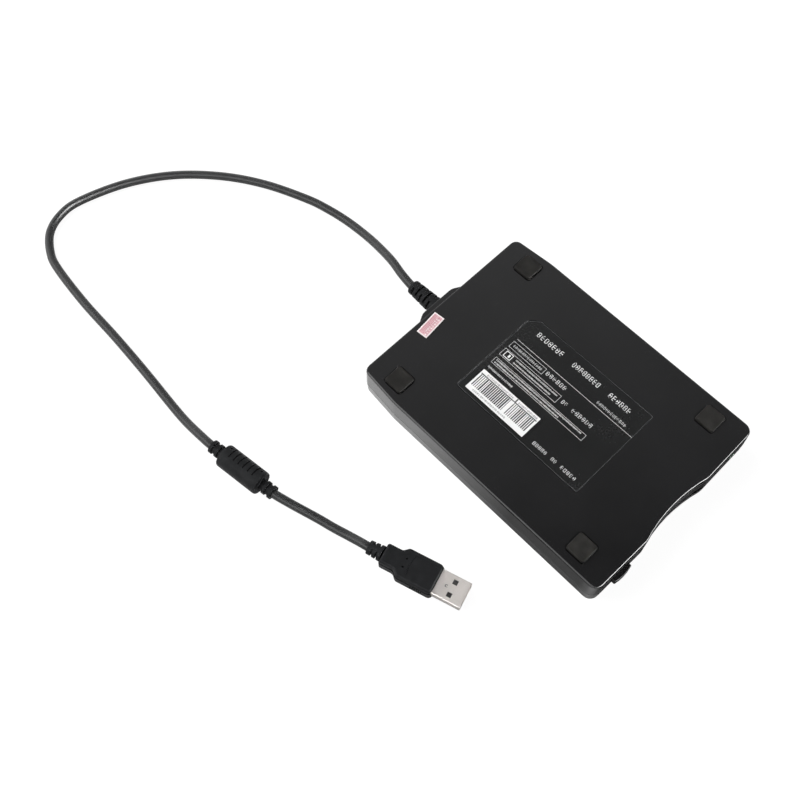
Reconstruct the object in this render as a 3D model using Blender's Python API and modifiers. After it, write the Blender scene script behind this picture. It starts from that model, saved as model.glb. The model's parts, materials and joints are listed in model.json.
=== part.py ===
"""External floppy disk drive with its captive cable, lying on its top cover.

Metres, +Z up. The outer face of the top cover rests on z = 0 and the underside
with its feet looks up. X runs across the drive, +Y to the rear where the cable
leaves. The origin is the middle of the case outline on the resting plane.
"""

import math

import bmesh
import bpy
from mathutils import Matrix, Vector

# Case
CASE_WIDTH = 0.1040
CASE_DEPTH = 0.1420
CASE_HEIGHT = 0.0180
WALL = 0.0018
PARTING_HEIGHT = 0.0072
FRONT_CORNER_RADIUS = 0.0045
REAR_CORNER_RADIUS = 0.0040
TAPER_LENGTH = 0.0218
TAPER_INSET = 0.0019
TAPER_RADIUS = 0.0300
FRONT_BOW = 0.0006
NOTCH_WIDTH = 0.0400
NOTCH_DEPTH = 0.0027
NOTCH_END_RADIUS = 0.0080
TOP_EDGE_RADIUS = 0.0010
BASE_EDGE_RADIUS = 0.0008
BULGE_BASE_WIDTH = 0.0300
BULGE_FLAT_WIDTH = 0.0190
BULGE_DEPTH = 0.0030
BULGE_HEIGHT = 0.0156
BULGE_BLEND_RADIUS = 0.0050
BULGE_SINK = 0.00005
BASE_DRAFT = 0.0003
TOP_DRAFT = 0.00035
RIB_WIDTH = 0.0012
RIB_HEIGHT = 0.0005

# Clearances
GAP = 0.0003
SLIDE_GAP = 0.0003
PRESS_GAP = 0.00025
CUT_OVERRUN = 0.0040

# Underside
FOOT_SIZE = 0.0098
FOOT_THICKNESS = 0.0018
FOOT_RADIUS = 0.0012
FOOT_EDGE = 0.0004
FOOT_FROM_SIDE = 0.0100
FOOT_FROM_REAR = 0.0156
FOOT_FROM_FRONT = 0.0176
POCKET_MARGIN = 0.0006
POCKET_DEPTH = 0.0008
LABEL_WIDTH = 0.0510
LABEL_LENGTH = 0.0720
LABEL_Y = 0.0003
LABEL_CLIP = 0.0042
LABEL_RADIUS = 0.0010
LABEL_DEPTH = 0.0006
FILM_THICKNESS = 0.00025
STICKER_WIDTH = 0.0122
STICKER_LENGTH = 0.0344
STICKER_FROM_SIDE = 0.0083
STICKER_Y = 0.0155
SEAL_LENGTH = 0.0131
SEAL_WIDTH = 0.0056
SEAL_X = -0.0124
SEAL_FROM_REAR = 0.0055
SEAL_TURN = math.radians(5.7)

# Front panel
BEZEL_FROM_SIDE = 0.0046
BEZEL_THICKNESS = 0.0020
BEZEL_SET = 0.00015
BEZEL_BORDER = 0.0027
SLOT_MARGIN = 0.0008
SLOT_LOW = 0.0046
SLOT_HIGH = 0.0091
FLAP_THICKNESS = 0.0010
FLAP_PIN_RADIUS = 0.0005
FLAP_LUG_SIZE = 0.0022
FLAP_LUG_WIDTH = 0.0012
FLAP_AXIS_DROP = 0.0005
BUTTON_FROM_END = 0.0109
BUTTON_WIDTH = 0.0104
BUTTON_LOW = 0.0103
BUTTON_HIGH = 0.0139
BUTTON_PROUD = 0.0021
BUTTON_CROWN = 0.0006
BUTTON_FLANGE = 0.0012
BUTTON_FLANGE_DEPTH = 0.0010
BUTTON_STEM_WIDTH = 0.0060
BUTTON_EDGE = 0.0004
LIGHT_FROM_END = 0.0094
LIGHT_WIDTH = 0.0032
LIGHT_HEIGHT = 0.0016
LIGHT_LENGTH = 0.0100

# Disk mechanism, stacked from the lid towards the underside
LID_LOW = 0.0026
LID_THICKNESS = 0.0004
SHEET = 0.0005
CAGE_LOW = 0.0041
CAGE_HIGH = 0.0093
DISK_FROM_CHASSIS = 0.0030
CAGE_LIP = 0.0027
CAGE_FROM_FRONT = 0.0025
CAGE_FROM_REAR = 0.0300
EJECT_TRAVEL = 0.0040
EJECT_PLAY = 0.0003
CAGE_LIFT = 0.0021
PIN_RADIUS = 0.0006
PIN_HEIGHT = 0.0068
PIN_FROM_FRONT = 0.0120
PIN_FROM_REAR = 0.0150
CHASSIS_FROM_SIDE = 0.0040
CHASSIS_FROM_FRONT = 0.0115
CHASSIS_FROM_REAR = 0.0110
CHASSIS_WALL = 0.0009
CHASSIS_TOP = 0.0154
CHASSIS_FLOOR = 0.0010
CHASSIS_RADIUS = 0.0020
ARM_WINDOW = 0.0140
PLATE_BORDER = 0.0120
COVER_HOLE_SHARE = 0.63

# Case screws, under the feet
SCREW_HEAD_RADIUS = 0.0022
SCREW_HEAD_HEIGHT = 0.0007
SCREW_RADIUS = 0.0012
SCREW_LENGTH = 0.0040
BOSS_WALL = 0.0010

# Spindle motor
SPINDLE_SHARE = 0.3724
ROTOR_RADIUS = 0.0210
ROTOR_LOW = 0.0110
ROTOR_DISC = 0.0007
ROTOR_RIM_HEIGHT = 0.0020
ROTOR_RIM = 0.0010
HUB_RADIUS = 0.0120
HUB_THICKNESS = 0.0006
HUB_NECK_RADIUS = 0.0048
SPINDLE_RADIUS = 0.0019
SPINDLE_TIP = 0.0092
JOURNAL_RADIUS = 0.0014
DRIVE_PIN_ORBIT = 0.0100
DRIVE_PIN_RADIUS = 0.0009
STATOR_INNER = 0.0075
STATOR_YOKE = 0.0100
STATOR_POLE_COUNT = 12
POLE_ARM_SHARE = 0.30
POLE_SHOE_SHARE = 0.80
POLE_SHOE = 0.0012
BOARD_THICKNESS = 0.0006
BEARING_RADIUS = 0.0040
MOTOR_BOARD_INSET = 0.0004

# Head positioner
HEAD_FROM_REAR = 0.0354
HEAD_TRAVEL_SHARE = 0.3838
ROD_X = 0.0095
ROD_Z = 0.0118
ROD_RADIUS = 0.0010
ROD_FROM_ROTOR = 0.0008
ROD_FROM_REAR = 0.0014
ROD_BLOCK = 0.0030
ROD_BLOCK_WIDTH = 0.0044
CARRIAGE_HALF_WIDTH = 0.0120
CARRIAGE_LOW = 0.0096
CARRIAGE_HIGH = 0.0140
CARRIAGE_AHEAD = 0.0010
CARRIAGE_LENGTH = 0.0270
CARRIAGE_WEB = 0.0050
NOSE_HALF_WIDTH = 0.0055
NOSE_THICKNESS = 0.0012
HEAD_RADIUS = 0.0018
HEAD_TIP = 0.00895
POST_HALF_WIDTH = 0.0070
POST_DEPTH = 0.0034
ARM_LENGTH = 0.0240
ARM_LOW = 0.0034
ARM_THICKNESS = 0.0008
ARM_HALF_WIDTH = 0.0045
ARM_HEAD_DROP = 0.0007
ARM_PIN_RADIUS = 0.0006
MOTOR_X = -0.0180
MOTOR_Z = 0.0114
MOTOR_RADIUS = 0.0045
MOTOR_FROM_REAR = 0.0137
MOTOR_LENGTH = 0.0120
LEAD_RADIUS = 0.0010
LEAD_SET = 0.0018
BRACKET_THICKNESS = 0.0018

# Latch lever
LEVER_FROM_SIDE = 0.0120
LEVER_FROM_REAR = 0.0220
LEVER_LOW = 0.0073
LEVER_THICKNESS = 0.0010
LEVER_REACH_X = 0.0220
LEVER_REACH_Y = 0.0140
LEVER_WIDTH = 0.0034
LEVER_NOSE_RADIUS = 0.0015
LEVER_HUB_RADIUS = 0.0032
LEVER_HUB_HEIGHT = 0.0055
LEVER_PIN_RADIUS = 0.0012

# Boards and flat cable
DRIVE_BOARD_LEFT = 0.0150
BOARD_FROM_SIDE = 0.0025
BOARD_FROM_ROTOR = 0.0040
BOARD_FROM_REAR = 0.0100
USB_BOARD_FROM_SIDE = 0.0200
USB_BOARD_DEPTH = 0.0070
USB_BOARD_LOW = 0.0094
USB_BOARD_SET = 0.0012
CHIP_HEIGHT = 0.0009
POST_RADIUS = 0.0016
POST_FROM_END = 0.0130
CABLE_FROM_END = 0.0020
CABLE_WIDTH = 0.0100
CABLE_THICKNESS = 0.0003

# Cable, its gland and its bead, whose start is measured from below the gland's tip
CORD_RADIUS = 0.0021
CORD_SPACING = 0.0090
CORD_STUB = 0.0015
TABLE_CLEARANCE = 0.00005
GLAND_Z = 0.0093
GLAND_BASE_RADIUS = 0.0045
GLAND_TIP_RADIUS = 0.0036
GLAND_LENGTH = 0.0160
GLAND_NECK_RADIUS = 0.0032
GLAND_FLANGE_RADIUS = 0.0042
GLAND_FLANGE_DEPTH = 0.0012
GLAND_ROW_COUNT = 5
GLAND_SLOT = 0.0011
GLAND_CORE_RADIUS = 0.0025
GLAND_WEB = 0.0027
GLAND_EDGE = 0.0005
BEAD_START = (-0.1206, 0.0048)
BEAD_TURN = math.radians(-82.5)
BEAD_TOTAL = 0.0362
BEAD_LENGTH = 0.0228
BEAD_RADIUS = 0.0057
BEAD_EDGE = 0.0012
COLLAR_RADIUS = 0.0033
COLLAR_RIB = 0.0014
COLLAR_CORE = 0.0026
BEAD_GROOVE_COUNT = 6
BEAD_GROOVE = 0.0005
BEAD_GROOVE_PITCH = 0.00275
BEAD_GROOVE_DEPTH = 0.0005
BEAD_PANEL_TURN = math.radians(40.0)
BEAD_PANEL_HALF = math.radians(48.0)
BEAD_HOLE_RADIUS = 0.0005
BEAD_HOLE_FROM_END = 0.0025

# USB plug, measured along its own axis from the start of its strain relief, which
# is placed from below the gland's tip
PLUG_START = (-0.1025, -0.0778)
PLUG_TURN = math.radians(-72.4)
PLUG_HEIGHT = 0.0088
RELIEF_LENGTH = 0.0070
RELIEF_RADIUS = 0.0037
RELIEF_ROW_COUNT = 2
RELIEF_SLOT = 0.0009
RELIEF_WEB = 0.0023
RELIEF_CORE_RADIUS = 0.0025
NECK_LENGTH = 0.0072
NECK_WIDTH = 0.0100
SHOULDER_LENGTH = 0.0022
BODY_LENGTH = 0.0172
BODY_WIDTH = 0.0144
BODY_CORNER = 0.0020
BODY_EDGE = 0.0010
BODY_LEDGE = 0.0003
BODY_LEDGE_RISE = 0.0012
GRIP_COUNT = 6
GRIP_WIDTH = 0.0005
GRIP_PITCH = 0.0010
GRIP_DEPTH = 0.0003
GRIP_START = 0.0072
DIMPLE_RADIUS = 0.00045
DIMPLE_DEPTH = 0.0008
DIMPLE_START = 0.0012
DIMPLE_PITCH = 0.0040
FIELD_START = 0.0038
FIELD_LENGTH = 0.0110
FIELD_WIDTH = 0.0090
FIELD_BOW = 0.0006
FIELD_DEPTH = 0.0002
SHELL_WIDTH = 0.0120
SHELL_HEIGHT = 0.0045
SHELL_LENGTH = 0.0130
SHELL_SHEET = 0.0003
SHELL_HOLE = 0.0022
SHELL_HOLE_X = 0.0066
SHELL_HOLE_PITCH = 0.0060
SHELL_TAB = 0.0012
SHELL_TAB_X = 0.0032
SHELL_TAB_SLIT = 0.0003
TONGUE_HEIGHT = 0.0018
TONGUE_LENGTH = 0.0110

# Drawing quality
ARC_STEP = math.radians(18.0)
ROUND_SEGMENTS = 24
SMALL_SEGMENTS = 12
MOULDED_SEGMENTS = 16
CORD_SIDES_LEVEL = 3
WELD = 0.000001
FLAT_ANGLE = math.radians(0.5)
SHARP_ANGLE = math.radians(35.0)
NOTCH_STEPS = 8

# Values that follow from those above
FRONT = -CASE_DEPTH / 2
REAR = CASE_DEPTH / 2
BASE_INNER = CASE_HEIGHT - WALL
BULGE_FACE = REAR + BULGE_DEPTH
GLAND_TIP_Y = BULGE_FACE + GLAND_LENGTH
FOOT_X = CASE_WIDTH / 2 - FOOT_FROM_SIDE
FOOT_REAR_Y = REAR - FOOT_FROM_REAR
FOOT_FRONT_Y = FRONT + FOOT_FROM_FRONT
SEAL_Y = REAR - SEAL_FROM_REAR
STICKER_X = STICKER_FROM_SIDE - LABEL_WIDTH / 2
BEZEL_HALF_WIDTH = CASE_WIDTH / 2 - BEZEL_FROM_SIDE
BEZEL_BACK = FRONT + NOTCH_DEPTH + BEZEL_SET + BEZEL_THICKNESS
BUTTON_X = BUTTON_FROM_END - BEZEL_HALF_WIDTH
BUTTON_STOP = (FRONT + FRONT_BOW * (2 * BUTTON_X / CASE_WIDTH) ** 2 + BEZEL_SET
               + BEZEL_THICKNESS)
LIGHT_X = BEZEL_HALF_WIDTH - LIGHT_FROM_END
CHASSIS_HALF_WIDTH = CASE_WIDTH / 2 - CHASSIS_FROM_SIDE
CHASSIS_FRONT = FRONT + CHASSIS_FROM_FRONT
CHASSIS_REAR = REAR - CHASSIS_FROM_REAR
DISK_HALF_WIDTH = CHASSIS_HALF_WIDTH - DISK_FROM_CHASSIS
SLOT_HALF_WIDTH = DISK_HALF_WIDTH + SLOT_MARGIN
FLAP_Y = BEZEL_BACK + GAP + FLAP_THICKNESS / 2
FLAP_Z = SLOT_LOW - FLAP_AXIS_DROP
FLAP_HALF_WIDTH = SLOT_HALF_WIDTH - GAP
CAGE_FRONT = CHASSIS_FRONT + CAGE_FROM_FRONT
CAGE_REAR = CHASSIS_REAR - CAGE_FROM_REAR
CAGE_SIDE = DISK_HALF_WIDTH + SHEET
PIN_FRONT_Y = CAGE_FRONT + PIN_FROM_FRONT
PIN_REAR_Y = CAGE_REAR - PIN_FROM_REAR
PLATE_SIDE = CAGE_SIDE + SHEET + SLIDE_GAP
PLATE_LOW = LID_LOW + LID_THICKNESS + GAP
PLATE_WINDOW = DISK_HALF_WIDTH - PLATE_BORDER
FLOOR_INNER = CHASSIS_TOP - CHASSIS_FLOOR
BOARD_HIGH = FLOOR_INNER - GAP
BOARD_LOW = BOARD_HIGH - BOARD_THICKNESS
TAB_FRONT = CAGE_FRONT - SLIDE_GAP - EJECT_TRAVEL / 2
SPINDLE_Y = CHASSIS_FRONT + SPINDLE_SHARE * (CHASSIS_REAR - CHASSIS_FRONT)
MOTOR_BOARD_RADIUS = ROTOR_RADIUS - MOTOR_BOARD_INSET
HEAD_Y = CHASSIS_REAR - HEAD_FROM_REAR
HEAD_TRAVEL = HEAD_TRAVEL_SHARE * (HEAD_Y - SPINDLE_Y)
ROD_FRONT = SPINDLE_Y + ROTOR_RADIUS - ROD_FROM_ROTOR
ROD_REAR = CHASSIS_REAR - ROD_FROM_REAR
CARRIAGE_FRONT = HEAD_Y - CARRIAGE_AHEAD
ARM_PIVOT_Y = HEAD_Y + ARM_LENGTH
ARM_WINDOW_FRONT = HEAD_Y - HEAD_TRAVEL - 3 * HEAD_RADIUS
ARM_PIVOT_Z = ARM_LOW + ARM_THICKNESS / 2
MOTOR_FRONT = CHASSIS_REAR - MOTOR_FROM_REAR
LEAD_FRONT = ROD_FRONT + LEAD_SET
LEVER_X = CHASSIS_HALF_WIDTH - LEVER_FROM_SIDE
LEVER_Y = CHASSIS_REAR - LEVER_FROM_REAR
DRIVE_BOARD_RIGHT = CHASSIS_HALF_WIDTH - BOARD_FROM_SIDE
DRIVE_BOARD_FRONT = SPINDLE_Y + ROTOR_RADIUS + BOARD_FROM_ROTOR
DRIVE_BOARD_REAR = CHASSIS_REAR - BOARD_FROM_REAR
USB_BOARD_WIDTH = CASE_WIDTH - 2 * USB_BOARD_FROM_SIDE
USB_BOARD_FRONT = CHASSIS_REAR + USB_BOARD_SET
POST_X = USB_BOARD_WIDTH / 2 - POST_FROM_END
CABLE_X = USB_BOARD_WIDTH / 2 - CABLE_FROM_END
BEAD_Z = BEAD_RADIUS + TABLE_CLEARANCE
PLUG_Z = PLUG_HEIGHT / 2 + TABLE_CLEARANCE
POCKET_SIZE = FOOT_SIZE + 2 * POCKET_MARGIN
FEET = {
    "foot_rear_right": (FOOT_X, FOOT_REAR_Y),
    "foot_rear_left": (-FOOT_X, FOOT_REAR_Y),
    "foot_front_right": (FOOT_X, FOOT_FRONT_Y),
    "foot_front_left": (-FOOT_X, FOOT_FRONT_Y),
}

# The cable's route over the table, from the gland to the bead, then to the plug,
# measured from below the gland's tip
CORD_MAIN_ROUTE = [
    (0.0012, 0.0090, 0.0090),
    (0.0035, 0.0182, 0.0080),
    (0.0056, 0.0308, 0.0053),
    (0.0065, 0.0416, 0.0032),
    (0.0061, 0.0535, 0.00215),
    (0.0042, 0.0647, 0.00215),
    (0.0008, 0.0771, 0.00215),
    (-0.0085, 0.0990, 0.00215),
    (-0.0213, 0.1187, 0.00215),
    (-0.0385, 0.1363, 0.00215),
    (-0.0590, 0.1491, 0.00215),
    (-0.0817, 0.1567, 0.00215),
    (-0.0938, 0.1567, 0.00215),
    (-0.1041, 0.1517, 0.00215),
    (-0.1112, 0.1414, 0.00215),
    (-0.1140, 0.1310, 0.00215),
    (-0.1163, 0.1071, 0.00215),
    (-0.1171, 0.0823, 0.00215),
    (-0.1185, 0.0582, 0.00215),
    (-0.1204, 0.0349, 0.00215),
    (-0.1211, 0.0237, 0.0031),
    (-0.1211, 0.0130, 0.0050),
]
CORD_TAIL_ROUTE = [
    (-0.1131, -0.0410, 0.0045),
    (-0.1108, -0.0475, 0.0031),
    (-0.1088, -0.0536, 0.0022),
    (-0.1071, -0.0601, 0.00215),
    (-0.1052, -0.0665, 0.0023),
    (-0.1037, -0.0727, 0.0036),
]


def clear_scene():
    for item in list(bpy.data.objects):
        bpy.data.objects.remove(item, do_unlink=True)


def collection(name):
    made = bpy.data.collections.new(name)
    bpy.context.scene.collection.children.link(made)
    return made


clear_scene()
PARTS = collection("floppy_drive")
CUTTERS = collection("floppy_drive_cutters")


def material(name, colour, roughness, metallic=0.0):
    made = bpy.data.materials.new(name)
    made.use_nodes = True
    shader = made.node_tree.nodes["Principled BSDF"]
    shader.inputs["Base Color"].default_value = (*colour, 1.0)
    shader.inputs["Roughness"].default_value = roughness
    shader.inputs["Metallic"].default_value = metallic
    made.diffuse_color = (*colour, 1.0)
    return made


BLACK_SHELL = material("black_shell", (0.022, 0.022, 0.023), 0.42)
BLACK_GLOSS = material("black_gloss", (0.010, 0.010, 0.011), 0.25)
RUBBER = material("rubber", (0.030, 0.028, 0.025), 0.75)
CORD_BLACK = material("cord_black", (0.020, 0.020, 0.020), 0.50)
FILM = material("label_film", (0.016, 0.016, 0.017), 0.35)
PAPER = material("white_paper", (0.85, 0.85, 0.85), 0.60)
PINK_PAPER = material("pink_paper", (0.86, 0.66, 0.67), 0.60)
STEEL = material("steel", (0.62, 0.62, 0.62), 0.35, 1.0)
PLUG_STEEL = material("plug_steel", (0.66, 0.62, 0.59), 0.35, 1.0)
BRASS = material("brass", (0.75, 0.60, 0.32), 0.35, 1.0)
DARK_STEEL = material("dark_steel", (0.20, 0.20, 0.21), 0.45, 1.0)
GREEN_BOARD = material("green_board", (0.03, 0.16, 0.08), 0.50)
GREY_PLASTIC = material("grey_plastic", (0.30, 0.30, 0.30), 0.50)
WHITE_PLASTIC = material("white_plastic", (0.80, 0.80, 0.78), 0.45)
CLEAR = material("clear_plastic", (0.55, 0.75, 0.60), 0.15)
AMBER_FILM = material("amber_film", (0.55, 0.32, 0.08), 0.40)


def place(made, into, finish=None):
    into.objects.link(made)
    if finish is not None:
        made.data.materials.append(finish)
    if into is CUTTERS:
        made.hide_render = True
        made.display_type = "WIRE"
    return made


def shade(mesh):
    mesh.shade_smooth()
    mesh.set_sharp_from_angle(angle=SHARP_ANGLE)


def turned_axis(made, axis):
    if axis == "X":
        made.rotation_euler = (math.pi / 2, 0.0, math.pi / 2)
    elif axis == "Y":
        made.rotation_euler = (math.pi / 2, 0.0, 0.0)


def prism(name, outlines, low, high, into=None, finish=None, at=(0.0, 0.0), axis="Z"):
    """A flat outline, with any holes, given its thickness between low and high.

    The outline lies in XY for axis Z, in YZ for axis X and in XZ for axis Y.
    """
    curve = bpy.data.curves.new(name, "CURVE")
    curve.dimensions = "2D"
    curve.fill_mode = "BOTH"
    curve.extrude = (high - low) / 2
    for outline in outlines:
        spline = curve.splines.new("POLY")
        spline.points.add(len(outline) - 1)
        for point, (u, v) in zip(spline.points, outline):
            point.co = (u, v, 0.0, 1.0)
        spline.use_cyclic_u = True
    shape = bpy.data.objects.new(name + "_outline", curve)
    CUTTERS.objects.link(shape)
    graph = bpy.context.evaluated_depsgraph_get()
    mesh = bpy.data.meshes.new_from_object(shape.evaluated_get(graph))
    bpy.data.objects.remove(shape, do_unlink=True)
    bpy.data.curves.remove(curve)
    form = bmesh.new()
    form.from_mesh(mesh)
    bmesh.ops.remove_doubles(form, verts=form.verts, dist=WELD)
    bmesh.ops.dissolve_limit(form, angle_limit=FLAT_ANGLE, verts=form.verts, edges=form.edges)
    bmesh.ops.recalc_face_normals(form, faces=form.faces)
    form.to_mesh(mesh)
    form.free()
    mesh.materials.clear()
    mesh.name = name
    made = bpy.data.objects.new(name, mesh)
    middle = (low + high) / 2
    turned_axis(made, axis)
    if axis == "Z":
        made.location = (at[0], at[1], middle)
    elif axis == "X":
        made.location = (middle, at[0], at[1])
    else:
        made.location = (at[0], middle, at[1])
    return place(made, CUTTERS if into is None else into, finish)


def boxes(name, spans, into=None, finish=None, origin=(0.0, 0.0, 0.0)):
    """Boxes given by their low and high corners, as one mesh."""
    form = bmesh.new()
    for low, high in spans:
        size = [b - a for a, b in zip(low, high)]
        middle = [(a + b) / 2 - c for a, b, c in zip(low, high, origin)]
        matrix = Matrix.Translation(middle) @ Matrix.Diagonal((*size, 1.0))
        bmesh.ops.create_cube(form, size=1.0, matrix=matrix)
    mesh = bpy.data.meshes.new(name)
    form.to_mesh(mesh)
    form.free()
    made = bpy.data.objects.new(name, mesh)
    made.location = origin
    return place(made, CUTTERS if into is None else into, finish)


AXIS_TURN = {
    "X": Matrix.Rotation(math.pi / 2, 4, "Y"),
    "Y": Matrix.Rotation(math.pi / 2, 4, "X"),
    "Z": Matrix.Identity(4),
}


def cylinders(name, rods, into=None, finish=None, segments=SMALL_SEGMENTS,
              origin=(0.0, 0.0, 0.0)):
    """Cylinders given by centre, radius, length and axis letter, as one mesh."""
    form = bmesh.new()
    for centre, radius, length, axis in rods:
        middle = [a - c for a, c in zip(centre, origin)]
        bmesh.ops.create_cone(
            form, cap_ends=True, segments=segments, radius1=radius, radius2=radius,
            depth=length, matrix=Matrix.Translation(middle) @ AXIS_TURN[axis])
    mesh = bpy.data.meshes.new(name)
    form.to_mesh(mesh)
    form.free()
    made = bpy.data.objects.new(name, mesh)
    made.location = origin
    made = place(made, CUTTERS if into is None else into, finish)
    shade(mesh)
    return made


def turned(name, profile, into=None, finish=None, segments=ROUND_SEGMENTS, at=(0.0, 0.0, 0.0),
           axis="Z"):
    """A turned piece. The profile of (radius, height) runs down the outer side."""
    mesh = bpy.data.meshes.new(name)
    points = [(radius, 0.0, height) for radius, height in profile]
    edges = [(i, i + 1) for i in range(len(points) - 1)]
    if profile[0][0] > 0.0:
        edges.append((len(points) - 1, 0))
    mesh.from_pydata(points, edges, [])
    made = bpy.data.objects.new(name, mesh)
    made.location = at
    if axis == "Y":
        made.rotation_euler = (-math.pi / 2, 0.0, 0.0)
    elif axis == "X":
        made.rotation_euler = (0.0, math.pi / 2, 0.0)
    screw = made.modifiers.new("turn", "SCREW")
    screw.angle = 2 * math.pi
    screw.steps = segments
    screw.render_steps = segments
    screw.use_merge_vertices = True
    screw.merge_threshold = WELD
    screw.use_smooth_shade = False
    return place(made, CUTTERS if into is None else into, finish)


def boolean(made, other, operation):
    step = made.modifiers.new(operation.lower(), "BOOLEAN")
    step.operation = operation
    step.solver = "EXACT"
    step.object = other


def cut(made, *others):
    for other in others:
        boolean(made, other, "DIFFERENCE")


def fuse(made, *others):
    for other in others:
        boolean(made, other, "UNION")


def soften_rim(made, height, width, segments=2):
    """Round the rim of a prism at one world height."""
    mesh = made.data
    layer = mesh.attributes.new("bevel_weight_edge", "FLOAT", "EDGE")
    level = height - made.location.z
    for edge in mesh.edges:
        ends = [mesh.vertices[i].co.z for i in edge.vertices]
        if all(abs(z - level) < WELD for z in ends):
            layer.data[edge.index].value = 1.0
    bevel = made.modifiers.new("rim", "BEVEL")
    bevel.limit_method = "WEIGHT"
    bevel.width = width
    bevel.segments = segments


def soften(made, width, segments=2, angle=math.radians(50.0)):
    bevel = made.modifiers.new("edges", "BEVEL")
    bevel.limit_method = "ANGLE"
    bevel.angle_limit = angle
    bevel.width = width
    bevel.segments = segments


def draft(made, height, outline, drawn_in):
    """Draw the rim of a prism in at one world height, from its outline to another."""
    level = height - made.location.z
    for vertex in made.data.vertices:
        if abs(vertex.co.z - level) < WELD:
            near = min(range(len(outline)), key=lambda i: (
                Vector(outline[i]) - vertex.co.to_2d()).length)
            vertex.co.x, vertex.co.y = drawn_in[near]


def rounded(corners):
    """Closed outline through corners (x, y, radius), each radius drawn as an arc."""
    outline = []
    count = len(corners)
    for i, (x, y, radius) in enumerate(corners):
        here = Vector((x, y))
        before = (Vector(corners[i - 1][:2]) - here).normalized()
        after = (Vector(corners[(i + 1) % count][:2]) - here).normalized()
        opening = before.angle(after)
        turn = math.pi - opening
        if radius <= 0.0 or turn < FLAT_ANGLE:
            outline.append((x, y))
            continue
        reach = radius * math.tan(turn / 2)
        centre = here + (before + after).normalized() * (radius / math.sin(opening / 2))
        start = here + before * reach - centre
        sweep = start.angle_signed(here + after * reach - centre)
        steps = max(2, math.ceil(turn / ARC_STEP))
        for k in range(steps + 1):
            spoke = start.copy()
            spoke.rotate(Matrix.Rotation(-sweep * k / steps, 2))
            outline.append(tuple(centre + spoke))
    return outline


def rectangle(width, length, radius=0.0, middle=(0.0, 0.0)):
    x, y = middle
    return rounded([
        (x - width / 2, y - length / 2, radius), (x + width / 2, y - length / 2, radius),
        (x + width / 2, y + length / 2, radius), (x - width / 2, y + length / 2, radius)])


def circle(radius, segments=ROUND_SEGMENTS, middle=(0.0, 0.0)):
    return [(middle[0] + radius * math.cos(2 * math.pi * i / segments),
             middle[1] + radius * math.sin(2 * math.pi * i / segments))
            for i in range(segments)]


def notch_offset(x):
    """How far the finger notch sets the front face back at x."""
    half = NOTCH_WIDTH / 2
    if abs(x) >= half:
        return 0.0
    radius = (half * half + NOTCH_DEPTH * NOTCH_DEPTH) / (2 * NOTCH_DEPTH)
    return math.sqrt(radius * radius - x * x) - (radius - NOTCH_DEPTH)


def bow_offset(x):
    return FRONT_BOW * (x / (CASE_WIDTH / 2)) ** 2


def front_points(half, shift, end_radius):
    """The front line from -half to +half, with the notch in its middle."""
    side = NOTCH_WIDTH / 2
    corners = [(-half, FRONT + shift + bow_offset(half), end_radius)]
    for i in range(NOTCH_STEPS + 1):
        x = -side + NOTCH_WIDTH * i / NOTCH_STEPS
        blend = NOTCH_END_RADIUS if i in (0, NOTCH_STEPS) else 0.0
        corners.append((x, FRONT + shift + notch_offset(x) + bow_offset(x), blend))
    corners.append((half, FRONT + shift + bow_offset(half), end_radius))
    return corners


def case_outline(inset=0.0, bulge=False):
    """Plan of the case: notched front, tapered rear sides, bulge for the cable."""
    half = CASE_WIDTH / 2 - inset
    rear_half = CASE_WIDTH / 2 - TAPER_INSET - inset
    rear = REAR - inset
    bend = REAR - TAPER_LENGTH
    corners = front_points(half, inset, FRONT_CORNER_RADIUS - inset)
    corners.append((half, bend, TAPER_RADIUS))
    corners.append((rear_half, rear, REAR_CORNER_RADIUS - inset))
    if bulge:
        corners.extend(bulge_corners(inset))
    corners.append((-rear_half, rear, REAR_CORNER_RADIUS - inset))
    corners.append((-half, bend, TAPER_RADIUS))
    return rounded(corners)


def bulge_corners(inset, sink=0.0):
    slant = (BULGE_BASE_WIDTH - BULGE_FLAT_WIDTH) / 2
    shrink = inset * (math.hypot(slant, BULGE_DEPTH) - slant) / BULGE_DEPTH
    base = BULGE_BASE_WIDTH / 2 - shrink
    flat = BULGE_FLAT_WIDTH / 2 - shrink
    rear = REAR - inset
    blend = BULGE_BLEND_RADIUS
    return [(base, rear - sink, blend), (flat, rear + BULGE_DEPTH, blend),
            (-flat, rear + BULGE_DEPTH, blend), (-base, rear - sink, blend)]


def bulge_outline(inset):
    """The bulge alone, its foot sunk just under the rear face it stands on."""
    corners = bulge_corners(inset, BULGE_SINK)
    base = corners[0][0] + BULGE_BLEND_RADIUS
    rear = corners[0][1]
    return rounded([(-base, rear - WALL / 2, 0.0), (base, rear - WALL / 2, 0.0),
                    (base, rear, 0.0)] + corners + [(-base, rear, 0.0)])


def label_outline(margin):
    """The label field with its clipped rear right corner."""
    half = LABEL_WIDTH / 2 - margin
    low = LABEL_Y - LABEL_LENGTH / 2 + margin
    high = LABEL_Y + LABEL_LENGTH / 2 - margin
    return rounded([
        (-half, low, LABEL_RADIUS), (half, low, LABEL_RADIUS),
        (half, high - LABEL_CLIP, LABEL_RADIUS), (half - LABEL_CLIP, high, LABEL_RADIUS),
        (-half, high, LABEL_RADIUS)])


def front_opening():
    """Cutter for the front walls of both shells, where the front panel sits."""
    half = BEZEL_HALF_WIDTH + GAP
    low = BEZEL_BORDER - GAP
    return boxes("front_opening", [
        ((-half, FRONT - CUT_OVERRUN, low),
         (half, BEZEL_BACK + GAP, CASE_HEIGHT - low))])


def gland_bore():
    middle = (REAR + BULGE_FACE) / 2
    return cylinders("gland_bore", [
        ((0.0, middle, GLAND_Z), GLAND_NECK_RADIUS + GAP, BULGE_DEPTH + 2 * CUT_OVERRUN, "Y")],
        segments=ROUND_SEGMENTS)


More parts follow.
